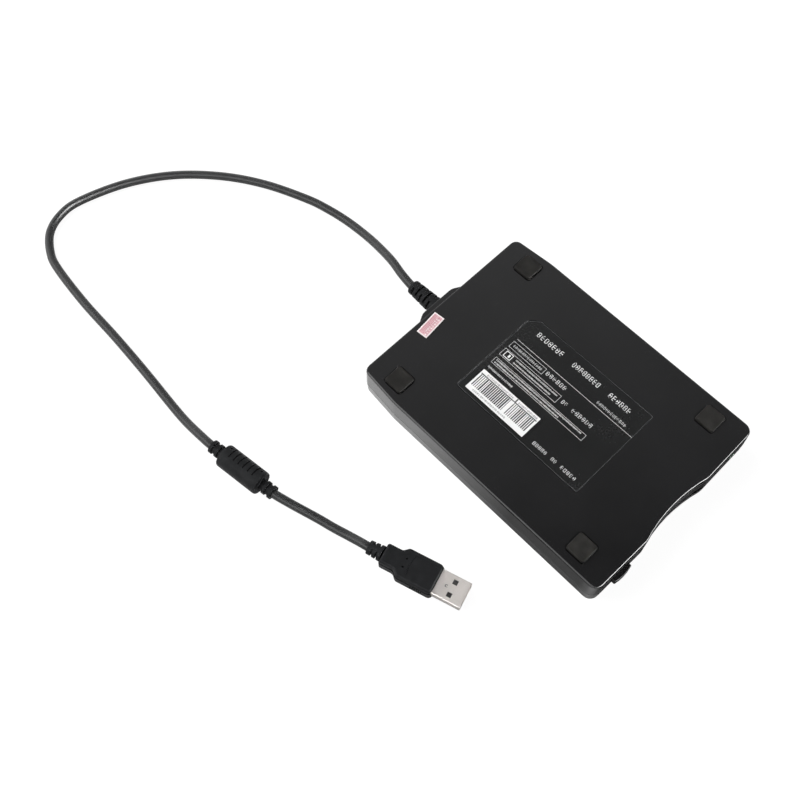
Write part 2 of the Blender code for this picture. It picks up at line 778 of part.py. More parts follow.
def bottom_cover():
    """Underside shell: label field, foot pockets, screw bosses and board posts inside."""
    low = PARTING_HEIGHT + GAP
    below = low - CUT_OVERRUN
    slope = BASE_DRAFT / (CASE_HEIGHT - low)
    cover = prism("bottom_cover", [case_outline()], below, CASE_HEIGHT, PARTS, BLACK_SHELL)
    for level in (below, CASE_HEIGHT):
        draft(cover, level, case_outline(), case_outline(slope * (level - low)))
    soften_rim(cover, CASE_HEIGHT, BASE_EDGE_RADIUS)
    bulge_low = (below + low) / 2
    bulge = prism("bulge_block", [bulge_outline(0.0)], bulge_low, BULGE_HEIGHT)
    for level in (bulge_low, BULGE_HEIGHT):
        draft(bulge, level, bulge_outline(0.0), bulge_outline(slope * (level - low)))
    soften_rim(bulge, BULGE_HEIGHT, BASE_EDGE_RADIUS)
    fuse(cover, bulge)
    cut(cover, prism("bottom_cavity", [case_outline(WALL)], below - CUT_OVERRUN, BASE_INNER))
    cut(cover, prism("bulge_pocket", [bulge_outline(WALL)],
                     below - 2 * CUT_OVERRUN, BULGE_HEIGHT - WALL))
    cut(cover, boxes("parting_trim", [
        ((-CASE_WIDTH, -CASE_DEPTH, below - CUT_OVERRUN), (CASE_WIDTH, CASE_DEPTH, low))]))
    boss = SCREW_HEAD_RADIUS + BOSS_WALL
    boss_low = CHASSIS_TOP + GAP
    grown = WALL / 2
    rods = [((x, y, (boss_low + BASE_INNER + grown) / 2), boss, BASE_INNER + grown - boss_low, "Z")
            for x, y in FEET.values()]
    post_low = USB_BOARD_LOW + BOARD_THICKNESS + GAP
    post_y = USB_BOARD_FRONT + USB_BOARD_DEPTH / 2
    rods += [((x, post_y, (post_low + BASE_INNER + grown) / 2), POST_RADIUS,
              BASE_INNER + grown - post_low, "Z") for x in (-POST_X, POST_X)]
    fuse(cover, cylinders("cover_bosses", rods))
    rib_low = BASE_INNER - RIB_HEIGHT
    rib_half = CHASSIS_HALF_WIDTH
    fuse(cover, boxes("cover_ribs", [
        ((-rib_half, y - RIB_WIDTH / 2, rib_low), (rib_half, y + RIB_WIDTH / 2, BASE_INNER + grown))
        for y in (FOOT_FRONT_Y / 2, 0.0, FOOT_REAR_Y / 2)]))
    cut(cover, front_opening(), gland_bore())
    cut(cover, prism("label_recess", [label_outline(0.0)],
                     CASE_HEIGHT - LABEL_DEPTH, CASE_HEIGHT + CUT_OVERRUN))
    floor = CASE_HEIGHT - POCKET_DEPTH
    for name, (x, y) in FEET.items():
        cut(cover, prism(name + "_pocket", [rectangle(
            POCKET_SIZE, POCKET_SIZE, FOOT_RADIUS + POCKET_MARGIN)],
            floor, CASE_HEIGHT + CUT_OVERRUN, at=(x, y)))
    head_low = floor - SCREW_HEAD_HEIGHT - GAP
    cut(cover, cylinders("screw_counterbores", [
        ((x, y, (head_low + floor + POCKET_DEPTH) / 2), SCREW_HEAD_RADIUS + GAP,
         floor + POCKET_DEPTH - head_low, "Z") for x, y in FEET.values()]))
    cut(cover, cylinders("screw_holes", [
        ((x, y, BASE_INNER), SCREW_RADIUS + GAP, 2 * CUT_OVERRUN, "Z")
        for x, y in FEET.values()]))
    return cover


def top_cover():
    """Shell that lies on the table, with the lower half of the cable bulge."""
    cover = prism("top_cover", [case_outline(bulge=True)], 0.0, PARTING_HEIGHT,
                  PARTS, BLACK_SHELL)
    draft(cover, 0.0, case_outline(bulge=True), case_outline(TOP_DRAFT, bulge=True))
    soften_rim(cover, 0.0, TOP_EDGE_RADIUS)
    cut(cover, prism("top_cavity", [case_outline(WALL, bulge=True)],
                     WALL, PARTING_HEIGHT + CUT_OVERRUN))
    rib_top = LID_LOW - GAP
    rib_half = CHASSIS_HALF_WIDTH
    fuse(cover, boxes("top_ribs", [
        ((-rib_half, y - RIB_WIDTH / 2, WALL / 2), (rib_half, y + RIB_WIDTH / 2, rib_top))
        for y in (CAGE_FRONT, FOOT_FRONT_Y / 2, 0.0, FOOT_REAR_Y)]))
    cut(cover, front_opening(), gland_bore())
    return cover


def front_bezel():
    """Front panel bent along the notch, with slot, button hole and light hole."""
    front = front_points(BEZEL_HALF_WIDTH, BEZEL_SET, 0.0)
    back = front_points(BEZEL_HALF_WIDTH, BEZEL_SET + BEZEL_THICKNESS, 0.0)
    bezel = prism("front_bezel", [rounded(front + back[::-1])],
                  BEZEL_BORDER, CASE_HEIGHT - BEZEL_BORDER, PARTS, BLACK_GLOSS)
    lug_low = FLAP_Z - FLAP_LUG_SIZE / 2
    lug_high = FLAP_Z + FLAP_LUG_SIZE / 2
    outer = BEZEL_HALF_WIDTH
    inner = outer - FLAP_LUG_WIDTH
    fuse(bezel, boxes("flap_lugs", [
        ((a, FRONT + BEZEL_SET + BEZEL_THICKNESS / 2, lug_low),
         (b, FLAP_Y + FLAP_LUG_SIZE / 2, lug_high))
        for a, b in ((-outer, -inner), (inner, outer))]))
    light_z = (BUTTON_LOW + BUTTON_HIGH) / 2
    front_cut = FRONT - CUT_OVERRUN
    back_cut = BEZEL_BACK + GAP
    cut(bezel, boxes("front_holes", [
        ((-SLOT_HALF_WIDTH, front_cut, SLOT_LOW), (SLOT_HALF_WIDTH, back_cut, SLOT_HIGH)),
        ((BUTTON_X - BUTTON_WIDTH / 2 - GAP, front_cut, BUTTON_LOW - GAP),
         (BUTTON_X + BUTTON_WIDTH / 2 + GAP, back_cut, BUTTON_HIGH + GAP)),
        ((LIGHT_X - LIGHT_WIDTH / 2 - GAP, front_cut, light_z - LIGHT_HEIGHT / 2 - GAP),
         (LIGHT_X + LIGHT_WIDTH / 2 + GAP, back_cut, light_z + LIGHT_HEIGHT / 2 + GAP))]))
    cut(bezel, cylinders("flap_pin_holes", [
        ((0.0, FLAP_Y, FLAP_Z), FLAP_PIN_RADIUS + PRESS_GAP, CASE_WIDTH, "X")]))
    return bezel


def slot_flap():
    """Flap behind the slot, hinged on two end pins and swinging inwards."""
    top = SLOT_HIGH + PRESS_GAP / 2 - FLAP_Z
    low = -FLAP_THICKNESS / 2
    flap = prism("slot_flap", [rounded([
        (-FLAP_THICKNESS / 2, low, FLAP_THICKNESS / 4), (FLAP_THICKNESS / 2, low, FLAP_THICKNESS / 4),
        (FLAP_THICKNESS / 2, top, FLAP_THICKNESS / 4), (-FLAP_THICKNESS / 2, top, 0.0)])],
        -FLAP_HALF_WIDTH, FLAP_HALF_WIDTH, PARTS, BLACK_GLOSS, at=(FLAP_Y, FLAP_Z), axis="X")
    pin = FLAP_LUG_WIDTH
    fuse(flap, cylinders("flap_pins", [
        ((side * (BEZEL_HALF_WIDTH - pin), FLAP_Y, FLAP_Z), FLAP_PIN_RADIUS, 2 * pin, "X")
        for side in (-1, 1)]))
    return flap


def button_face():
    """Plan of the button: barrel front, straight sides, flange, then stem."""
    half = BUTTON_WIDTH / 2
    face = FRONT - BUTTON_PROUD
    flange_front = BUTTON_STOP + EJECT_TRAVEL + GAP
    flange = half + BUTTON_FLANGE
    stem = BUTTON_STEM_WIDTH / 2
    corner = BUTTON_CROWN
    return rounded([
        (-stem, TAB_FRONT - GAP, 0.0), (-stem, flange_front + BUTTON_FLANGE_DEPTH, 0.0),
        (-flange, flange_front + BUTTON_FLANGE_DEPTH, 0.0), (-flange, flange_front, 0.0),
        (-half, flange_front, 0.0), (-half, face + BUTTON_CROWN, corner),
        (-half / 2, face + BUTTON_CROWN / 4, 0.0), (0.0, face, 0.0),
        (half / 2, face + BUTTON_CROWN / 4, 0.0), (half, face + BUTTON_CROWN, corner),
        (half, flange_front, 0.0), (flange, flange_front, 0.0),
        (flange, flange_front + BUTTON_FLANGE_DEPTH, 0.0),
        (stem, flange_front + BUTTON_FLANGE_DEPTH, 0.0), (stem, TAB_FRONT - GAP, 0.0)])


def eject_button():
    button = prism("eject_button", [button_face()], BUTTON_LOW, BUTTON_HIGH,
                   PARTS, BLACK_SHELL, at=(BUTTON_X, 0.0))
    soften(button, BUTTON_EDGE)
    return button


def light_pipe():
    middle = (BUTTON_LOW + BUTTON_HIGH) / 2
    return prism("light_pipe", [rectangle(LIGHT_WIDTH, LIGHT_HEIGHT, LIGHT_HEIGHT / 3)],
                 FRONT + BEZEL_SET, FRONT + BEZEL_SET + LIGHT_LENGTH, PARTS, CLEAR,
                 at=(LIGHT_X, middle), axis="Y")


def feet():
    made = []
    for name, (x, y) in FEET.items():
        low = CASE_HEIGHT - POCKET_DEPTH + GAP
        foot = prism(name, [rectangle(FOOT_SIZE, FOOT_SIZE, FOOT_RADIUS)],
                     low, low + FOOT_THICKNESS, PARTS, RUBBER, at=(x, y))
        soften_rim(foot, low + FOOT_THICKNESS, FOOT_EDGE)
        made.append(foot)
    return made


def labels():
    low = CASE_HEIGHT - LABEL_DEPTH + GAP
    prism("rating_label", [label_outline(PRESS_GAP)], low, low + FILM_THICKNESS, PARTS, FILM)
    high = low + FILM_THICKNESS + GAP
    prism("white_sticker", [rectangle(STICKER_WIDTH, STICKER_LENGTH)],
          high, high + FILM_THICKNESS, PARTS, PAPER, at=(STICKER_X, STICKER_Y))
    seal = prism("seal_sticker", [rectangle(SEAL_LENGTH, SEAL_WIDTH)],
                 CASE_HEIGHT + GAP, CASE_HEIGHT + GAP + FILM_THICKNESS, PARTS, PINK_PAPER,
                 at=(SEAL_X, SEAL_Y))
    seal.rotation_euler.z = SEAL_TURN


def case_screws():
    """Pan head screws that reach from the foot pockets into the chassis."""
    top = CASE_HEIGHT - POCKET_DEPTH
    for i, (x, y) in enumerate(FEET.values()):
        head_low = top - SCREW_HEAD_HEIGHT
        turned("case_screw_%d" % (i + 1), [
            (0.0, 0.0), (SCREW_HEAD_RADIUS, 0.0), (SCREW_HEAD_RADIUS, -SCREW_HEAD_HEIGHT),
            (SCREW_RADIUS, -SCREW_HEAD_HEIGHT),
            (SCREW_RADIUS, -SCREW_HEAD_HEIGHT - SCREW_LENGTH),
            (0.0, -SCREW_HEAD_HEIGHT - SCREW_LENGTH - SCREW_RADIUS / 2)],
            PARTS, STEEL, SMALL_SEGMENTS, at=(x, y, top))


def chassis_outline(inset, forward):
    half = CHASSIS_HALF_WIDTH - inset
    front, rear = CHASSIS_FRONT - forward, CHASSIS_REAR - inset
    radius = CHASSIS_RADIUS - inset
    return rounded([(-half, front, 0.0), (half, front, 0.0),
                    (half, rear, radius), (-half, rear, radius)])


def chassis():
    """Tray of the mechanism: pin slots, rod blocks, screw bosses and motor cut-out."""
    low = LID_LOW + LID_THICKNESS + GAP
    tray = prism("chassis", [chassis_outline(0.0, 0.0)], low, CHASSIS_TOP, PARTS, STEEL)
    cut(tray, prism("chassis_cavity", [chassis_outline(CHASSIS_WALL, CUT_OVERRUN)],
                    low - CUT_OVERRUN, FLOOR_INNER))
    block_half = ROD_BLOCK_WIDTH / 2
    grown = FLOOR_INNER + CHASSIS_FLOOR / 2
    fuse(tray, boxes("rod_blocks", [
        ((x - block_half, y, ROD_Z - block_half), (x + block_half, y + ROD_BLOCK, grown))
        for x in (-ROD_X, ROD_X)
        for y in (ROD_FRONT - GAP, ROD_REAR + GAP - ROD_BLOCK)]))
    boss = SCREW_RADIUS + BOSS_WALL
    fuse(tray, cylinders("chassis_bosses", [
        ((x, y, (grown + FLOOR_INNER - EJECT_TRAVEL / 2) / 2), boss,
         grown - FLOOR_INNER + EJECT_TRAVEL / 2, "Z") for x, y in FEET.values()]))
    pin_room = PIN_RADIUS + SLIDE_GAP
    cut(tray, boxes("pin_slots", [
        ((-CASE_WIDTH / 2, y - pin_room, PIN_HEIGHT - pin_room),
         (CASE_WIDTH / 2, y + pin_room, PIN_HEIGHT + CAGE_LIFT + pin_room))
        for y in (PIN_FRONT_Y, PIN_REAR_Y)]))
    motor = MOTOR_RADIUS + GAP
    cut(tray, boxes("chassis_openings", [
        ((MOTOR_X - motor, MOTOR_FRONT - GAP, FLOOR_INNER - CUT_OVERRUN),
         (MOTOR_X + motor, MOTOR_FRONT + MOTOR_LENGTH + GAP, CHASSIS_TOP + CUT_OVERRUN)),
        ((CABLE_X - CABLE_WIDTH / 2 - CHASSIS_WALL, CHASSIS_REAR - 2 * CHASSIS_WALL,
          low - CUT_OVERRUN),
         (CABLE_X + CABLE_WIDTH / 2 + CHASSIS_WALL, CHASSIS_REAR + CUT_OVERRUN,
          FLOOR_INNER - CHASSIS_FLOOR))]))
    cut(tray, cylinders("rod_bores", [
        ((x, (ROD_FRONT + ROD_REAR) / 2, ROD_Z), ROD_RADIUS + PRESS_GAP,
         ROD_REAR - ROD_FRONT, "Y") for x in (-ROD_X, ROD_X)]))
    holes = [((x, y, CHASSIS_TOP), SCREW_RADIUS + PRESS_GAP, 2 * CUT_OVERRUN, "Z")
             for x, y in FEET.values()]
    holes.append(((LEVER_X, LEVER_Y, CHASSIS_TOP), LEVER_PIN_RADIUS + PRESS_GAP,
                  CUT_OVERRUN, "Z"))
    cut(tray, cylinders("chassis_holes", holes))
    cut(tray, cylinders("bearing_hole", [
        ((0.0, SPINDLE_Y, CHASSIS_TOP), BEARING_RADIUS + PRESS_GAP, CUT_OVERRUN, "Z")],
        segments=ROUND_SEGMENTS))
    return tray


def mech_cover():
    """Thin steel lid of the mechanism, with its window over the head arm."""
    half = CHASSIS_HALF_WIDTH - CHASSIS_WALL / 2
    front = CHASSIS_FRONT + CHASSIS_WALL
    rear = CHASSIS_REAR - CHASSIS_WALL
    return prism("mech_cover", [
        rectangle(2 * half, rear - front, CHASSIS_RADIUS, (0.0, (rear + front) / 2)),
        rounded([(-ARM_WINDOW, ARM_WINDOW_FRONT, CHASSIS_RADIUS),
                 (ARM_WINDOW, ARM_WINDOW_FRONT, CHASSIS_RADIUS),
                 (ARM_WINDOW, ARM_PIVOT_Y + POST_DEPTH, CHASSIS_RADIUS),
                 (-ARM_WINDOW, ARM_PIVOT_Y + POST_DEPTH, CHASSIS_RADIUS)]),
        circle(COVER_HOLE_SHARE * (ARM_WINDOW_FRONT - SPINDLE_Y), middle=(0.0, SPINDLE_Y))],
        LID_LOW, LID_LOW + LID_THICKNESS, PARTS, STEEL)


def ramp_outline(y):
    """Slanted slot that drives one cage pin while the plate slides forward."""
    room = PIN_RADIUS + SLIDE_GAP
    slope = Vector((EJECT_TRAVEL, CAGE_LIFT)).normalized() * room
    across = Vector((-slope.y, slope.x))
    play = Vector((EJECT_TRAVEL, CAGE_LIFT)) * (EJECT_PLAY / EJECT_TRAVEL)
    start = Vector((y, PIN_HEIGHT)) - slope - play
    end = Vector((y + EJECT_TRAVEL, PIN_HEIGHT + CAGE_LIFT)) + slope
    return rounded([(*(start - across), room / 2), (*(end - across), room / 2),
                    (*(end + across), room / 2), (*(start + across), room / 2)])


def channel_outline(half, low, high, sheet, lip=0.0):
    """Section of a folded sheet channel, with inward lips when lip is set."""
    right = [(half, low), (half, high)]
    if lip > 0.0:
        right += [(half - lip, high), (half - lip, high - sheet), (half - sheet, high - sheet)]
    else:
        right += [(half - sheet, high)]
    right += [(half - sheet, low + sheet)]
    return right + [(-x, z) for x, z in right[::-1]]


def eject_plate():
    """Sliding channel whose ramp slots lift the cage, with a tab to the button."""
    side = PLATE_SIDE + SHEET
    high = PIN_HEIGHT + CAGE_LIFT + 2 * PIN_RADIUS
    plate = prism("eject_plate", [channel_outline(side, PLATE_LOW, high, SHEET)],
                  CAGE_FRONT, CAGE_REAR, PARTS, STEEL, axis="Y")
    tab_low = BUTTON_LOW + PIN_RADIUS
    tab_high = BUTTON_HIGH - SLIDE_GAP
    reach = BUTTON_X + BUTTON_STEM_WIDTH / 2
    fuse(plate, boxes("button_tab", [
        ((-side, TAB_FRONT, high - SHEET), (-side + SHEET, CAGE_FRONT + 2 * EJECT_TRAVEL, tab_high))]))
    fuse(plate, boxes("button_tab_fold", [
        ((-side, TAB_FRONT, tab_low), (reach, TAB_FRONT + SHEET, tab_high))]))
    for i, y in enumerate((PIN_FRONT_Y, PIN_REAR_Y)):
        cut(plate, prism("ramp_%d" % (i + 1), [ramp_outline(y)], -CASE_WIDTH / 2,
                         CASE_WIDTH / 2, axis="X"))
    low, top = PLATE_LOW - CUT_OVERRUN, PLATE_LOW + 2 * SHEET
    rear = CAGE_REAR + CUT_OVERRUN
    cut(plate, prism("plate_window", [rounded([
        (-PLATE_WINDOW, PIN_FRONT_Y, CHASSIS_RADIUS), (PLATE_WINDOW, PIN_FRONT_Y, CHASSIS_RADIUS),
        (PLATE_WINDOW, PIN_REAR_Y, CHASSIS_RADIUS), (ARM_WINDOW, PIN_REAR_Y, CHASSIS_RADIUS),
        (ARM_WINDOW, rear, 0.0), (-ARM_WINDOW, rear, 0.0),
        (-ARM_WINDOW, PIN_REAR_Y, CHASSIS_RADIUS),
        (-PLATE_WINDOW, PIN_REAR_Y, CHASSIS_RADIUS)])], low, top))
    return plate


def disk_cage():
    """Folded sheet that holds the disk, lifted on four side pins."""
    side = CAGE_SIDE + SHEET
    cage = prism("disk_cage", [channel_outline(side, CAGE_LOW, CAGE_HIGH, SHEET, CAGE_LIP)],
                 CAGE_FRONT, CAGE_REAR, PARTS, STEEL, axis="Y")
    reach = CHASSIS_HALF_WIDTH - side
    fuse(cage, cylinders("cage_pins", [
        ((sign * (side + reach / 2 - SHEET / 4), y, PIN_HEIGHT), PIN_RADIUS,
         reach + SHEET / 2, "X")
        for sign in (-1, 1) for y in (PIN_FRONT_Y, PIN_REAR_Y)]))
    low = CAGE_LOW - CUT_OVERRUN / 2
    cut(cage, boxes("cage_arm_window", [
        ((-ARM_WINDOW, ARM_WINDOW_FRONT, low),
         (ARM_WINDOW, CAGE_REAR + CUT_OVERRUN, CAGE_LOW + 2 * SHEET))]))
    hole = DISK_HALF_WIDTH / 3
    cut(cage, prism("cage_holes", [
        rounded([(x - hole / 2, PIN_FRONT_Y, hole / 2), (x + hole / 2, PIN_FRONT_Y, hole / 2),
                 (x + hole / 2, PIN_FRONT_Y / 4, hole / 2),
                 (x - hole / 2, PIN_FRONT_Y / 4, hole / 2)])
        for x in (-2 * hole, 0.0, 2 * hole)], low, CAGE_LOW + 2 * SHEET))
    return cage


def latch():
    """Lever that an entering disk turns, and the pin it turns on."""
    reach = Vector((-LEVER_REACH_X, -LEVER_REACH_Y))
    along = reach.normalized()
    across = Vector((-along.y, along.x))
    wide = LEVER_WIDTH / 2
    nose = LEVER_NOSE_RADIUS
    corners = []
    for base, width, radius in ((Vector((0.0, 0.0)) - along * wide, wide, wide),
                                (reach + along * nose, nose, nose)):
        pair = [(*(base - across * width), radius), (*(base + across * width), radius)]
        corners.extend(pair if base.length < wide * 2 else pair[::-1])
    lever = prism("latch_lever", [rounded(corners)], LEVER_LOW, LEVER_LOW + LEVER_THICKNESS,
                  PARTS, WHITE_PLASTIC, at=(LEVER_X, LEVER_Y))
    hub_high = LEVER_LOW + LEVER_HUB_HEIGHT
    fuse(lever, cylinders("lever_hub", [
        ((LEVER_X, LEVER_Y, (LEVER_LOW - SHEET + hub_high) / 2), LEVER_HUB_RADIUS,
         hub_high - LEVER_LOW + SHEET, "Z")], segments=ROUND_SEGMENTS))
    cut(lever, cylinders("lever_bore", [
        ((LEVER_X, LEVER_Y, hub_high), LEVER_PIN_RADIUS + SLIDE_GAP, CASE_HEIGHT, "Z")]))
    cap = LEVER_PIN_RADIUS + BOSS_WALL
    low = LEVER_LOW - SHEET - GAP
    turned("latch_pin", [
        (0.0, CHASSIS_TOP - low), (LEVER_PIN_RADIUS, CHASSIS_TOP - low),
        (LEVER_PIN_RADIUS, 0.0), (cap, 0.0), (cap, -SHEET), (0.0, -SHEET)],
        PARTS, STEEL, SMALL_SEGMENTS, at=(LEVER_X, LEVER_Y, low))
    return lever


def stator_outline():
    """Laminated stator seen from above: one T-shaped pole for each winding."""
    outer = ROTOR_RADIUS - ROTOR_RIM - 2 * GAP
    inner = outer - POLE_SHOE
    step = 2 * math.pi / STATOR_POLE_COUNT
    outline = []
    for i in range(STATOR_POLE_COUNT):
        middle = i * step
        for radius, share in ((STATOR_YOKE, -POLE_ARM_SHARE), (inner, -POLE_ARM_SHARE),
                              (inner, -POLE_SHOE_SHARE), (outer, -POLE_SHOE_SHARE),
                              (outer, 0.0), (outer, POLE_SHOE_SHARE),
                              (inner, POLE_SHOE_SHARE), (inner, POLE_ARM_SHARE),
                              (STATOR_YOKE, POLE_ARM_SHARE)):
            spread = share * step / 2
            if radius == inner and abs(share) == POLE_ARM_SHARE:
                spread *= STATOR_YOKE / inner
            angle = middle + spread
            outline.append((radius * math.cos(angle), radius * math.sin(angle)))
    return outline


def spindle_motor():
    """Flat outer-rotor motor: board, bearing and stator fixed, rotor and hub turning."""
    at = (0.0, SPINDLE_Y)
    stator_low = ROTOR_LOW + ROTOR_DISC + GAP
    prism("stator", [stator_outline(), circle(STATOR_INNER)], stator_low,
          BOARD_LOW - GAP, PARTS, DARK_STEEL, at=at)
    prism("motor_board", [
        circle(MOTOR_BOARD_RADIUS, 2 * ROUND_SEGMENTS),
        circle(BEARING_RADIUS + GAP)], BOARD_LOW, BOARD_HIGH, PARTS, GREEN_BOARD, at=at)
    rim_bottom = ROTOR_LOW + ROTOR_RIM_HEIGHT
    bore = HUB_NECK_RADIUS + GAP
    segments = 2 * ROUND_SEGMENTS
    turned("rotor", [
        (ROTOR_RADIUS, rim_bottom), (ROTOR_RADIUS, ROTOR_LOW), (bore, ROTOR_LOW),
        (bore, ROTOR_LOW + ROTOR_DISC), (ROTOR_RADIUS - ROTOR_RIM, ROTOR_LOW + ROTOR_DISC),
        (ROTOR_RADIUS - ROTOR_RIM, rim_bottom)],
        PARTS, STEEL, segments, at=(0.0, SPINDLE_Y, 0.0))
    hub_high = ROTOR_LOW - GAP
    hub_low = hub_high - HUB_THICKNESS
    neck_high = stator_low + ROTOR_DISC
    hub = turned("spindle_hub", [
        (0.0, CHASSIS_TOP - GAP), (JOURNAL_RADIUS, CHASSIS_TOP - GAP),
        (JOURNAL_RADIUS, neck_high), (HUB_NECK_RADIUS, neck_high),
        (HUB_NECK_RADIUS, hub_high), (HUB_RADIUS, hub_high), (HUB_RADIUS, hub_low),
        (SPINDLE_RADIUS, hub_low), (SPINDLE_RADIUS, SPINDLE_TIP + SPINDLE_RADIUS / 4),
        (SPINDLE_RADIUS / 2, SPINDLE_TIP), (0.0, SPINDLE_TIP)],
        PARTS, STEEL, segments, at=(0.0, SPINDLE_Y, 0.0))
    fuse(hub, cylinders("drive_pin", [
        ((0.0, SPINDLE_Y + DRIVE_PIN_ORBIT, hub_low), DRIVE_PIN_RADIUS,
         2 * HUB_THICKNESS - GAP, "Z")]))
    turned("spindle_bearing", [
        (BEARING_RADIUS, CHASSIS_TOP), (BEARING_RADIUS, neck_high + GAP),
        (JOURNAL_RADIUS + PRESS_GAP, neck_high + GAP), (JOURNAL_RADIUS + PRESS_GAP, CHASSIS_TOP)],
        PARTS, BRASS, at=(0.0, SPINDLE_Y, 0.0))


def head_positioner():
    """Carriage on two rods, driven along by the screw of a small stepper motor."""
    for name, x in (("guide_rod_left", -ROD_X), ("guide_rod_right", ROD_X)):
        cylinders(name, [((x, (ROD_FRONT + ROD_REAR) / 2, ROD_Z), ROD_RADIUS,
                          ROD_REAR - ROD_FRONT - 2 * GAP, "Y")], PARTS, STEEL,
                  origin=(x, (ROD_FRONT + ROD_REAR) / 2, ROD_Z))
    carriage()
    head_arm()
    stepper_motor()


def carriage():
    """Moulded carriage with the lower head on its nose and two ears for the arm."""
    half = CARRIAGE_HALF_WIDTH
    rear = CARRIAGE_FRONT + CARRIAGE_LENGTH
    origin = (0.0, HEAD_Y, ROD_Z)
    body = boxes("head_carriage", [
        ((-half, CARRIAGE_FRONT, CARRIAGE_LOW), (half, rear, CARRIAGE_HIGH))],
        PARTS, GREY_PLASTIC, origin)
    ear_low = ARM_LOW - SHEET / 2
    ear_front = ARM_PIVOT_Y - POST_DEPTH / 2
    between = ARM_HALF_WIDTH + SLIDE_GAP
    fuse(body, boxes("carriage_nose", [
        ((-NOSE_HALF_WIDTH, HEAD_Y - 2 * HEAD_RADIUS, CARRIAGE_LOW),
         (NOSE_HALF_WIDTH, CARRIAGE_FRONT + CARRIAGE_WEB, CARRIAGE_LOW + NOSE_THICKNESS))]))
    fuse(body, boxes("carriage_ears", [
        ((x - POST_HALF_WIDTH / 2 + between / 2, ear_front, ear_low),
         (x + POST_HALF_WIDTH / 2 - between / 2, ear_front + POST_DEPTH,
          CARRIAGE_LOW + NOSE_THICKNESS))
        for x in (-(POST_HALF_WIDTH + between) / 2, (POST_HALF_WIDTH + between) / 2)]))
    follower = MOTOR_X + LEAD_RADIUS + SLIDE_GAP
    fuse(body, boxes("carriage_follower", [
        ((follower, CARRIAGE_FRONT + CARRIAGE_WEB, MOTOR_Z - LEAD_RADIUS),
         (-half + ROD_RADIUS, CARRIAGE_FRONT + 2 * CARRIAGE_WEB, MOTOR_Z + LEAD_RADIUS))]))
    fuse(body, cylinders("lower_head", [
        ((0.0, HEAD_Y, (HEAD_TIP + CARRIAGE_LOW + NOSE_THICKNESS / 2) / 2), HEAD_RADIUS,
         CARRIAGE_LOW + NOSE_THICKNESS / 2 - HEAD_TIP, "Z")]))
    opening = ROD_X - 2 * ROD_RADIUS - SLIDE_GAP
    cut(body, boxes("carriage_opening", [
        ((-opening, CARRIAGE_FRONT + CARRIAGE_WEB, CARRIAGE_LOW - CUT_OVERRUN),
         (opening, rear - CARRIAGE_WEB, CARRIAGE_HIGH + CUT_OVERRUN))]))
    cut(body, cylinders("carriage_bores", [
        ((x, (CARRIAGE_FRONT + rear) / 2, ROD_Z), ROD_RADIUS + SLIDE_GAP,
         CARRIAGE_LENGTH + CUT_OVERRUN, "Y") for x in (-ROD_X, ROD_X)]))
    cut(body, cylinders("arm_pin_bore", [
        ((0.0, ARM_PIVOT_Y, ARM_PIVOT_Z), ARM_PIN_RADIUS + PRESS_GAP,
         3 * POST_HALF_WIDTH, "X")]))
    return body


def head_arm():
    """Arm with the upper head, turning on a cross pin between the carriage's ears."""
    origin = (0.0, ARM_PIVOT_Y, ARM_PIVOT_Z)
    tip = HEAD_Y - 2 * HEAD_RADIUS
    rear = ARM_PIVOT_Y + ARM_THICKNESS
    arm = prism("head_arm", [rounded([
        (-ARM_HALF_WIDTH, rear - ARM_PIVOT_Y, 0.0), (-ARM_HALF_WIDTH, -ARM_LENGTH / 3, HEAD_RADIUS),
        (-HEAD_RADIUS * 2, -ARM_LENGTH / 2, HEAD_RADIUS),
        (-HEAD_RADIUS * 2, tip - ARM_PIVOT_Y, HEAD_RADIUS),
        (HEAD_RADIUS * 2, tip - ARM_PIVOT_Y, HEAD_RADIUS),
        (HEAD_RADIUS * 2, -ARM_LENGTH / 2, HEAD_RADIUS),
        (ARM_HALF_WIDTH, -ARM_LENGTH / 3, HEAD_RADIUS), (ARM_HALF_WIDTH, rear - ARM_PIVOT_Y, 0.0)])],
        ARM_LOW, ARM_LOW + ARM_THICKNESS, PARTS, WHITE_PLASTIC, at=(0.0, ARM_PIVOT_Y))
    sleeve = ARM_PIN_RADIUS + SLIDE_GAP + ARM_THICKNESS / 2
    fuse(arm, cylinders("arm_sleeve", [
        (origin, sleeve, 2 * ARM_HALF_WIDTH, "X")]))
    fuse(arm, cylinders("upper_head", [
        ((0.0, HEAD_Y, ARM_LOW + ARM_THICKNESS), HEAD_RADIUS, 2 * ARM_HEAD_DROP, "Z")]))
    cut(arm, cylinders("arm_sleeve_bore", [
        (origin, ARM_PIN_RADIUS + SLIDE_GAP, 4 * ARM_HALF_WIDTH, "X")]))
    cylinders("arm_pin", [(origin, ARM_PIN_RADIUS, 2 * POST_HALF_WIDTH, "X")], PARTS, STEEL,
              origin=origin)
    return arm


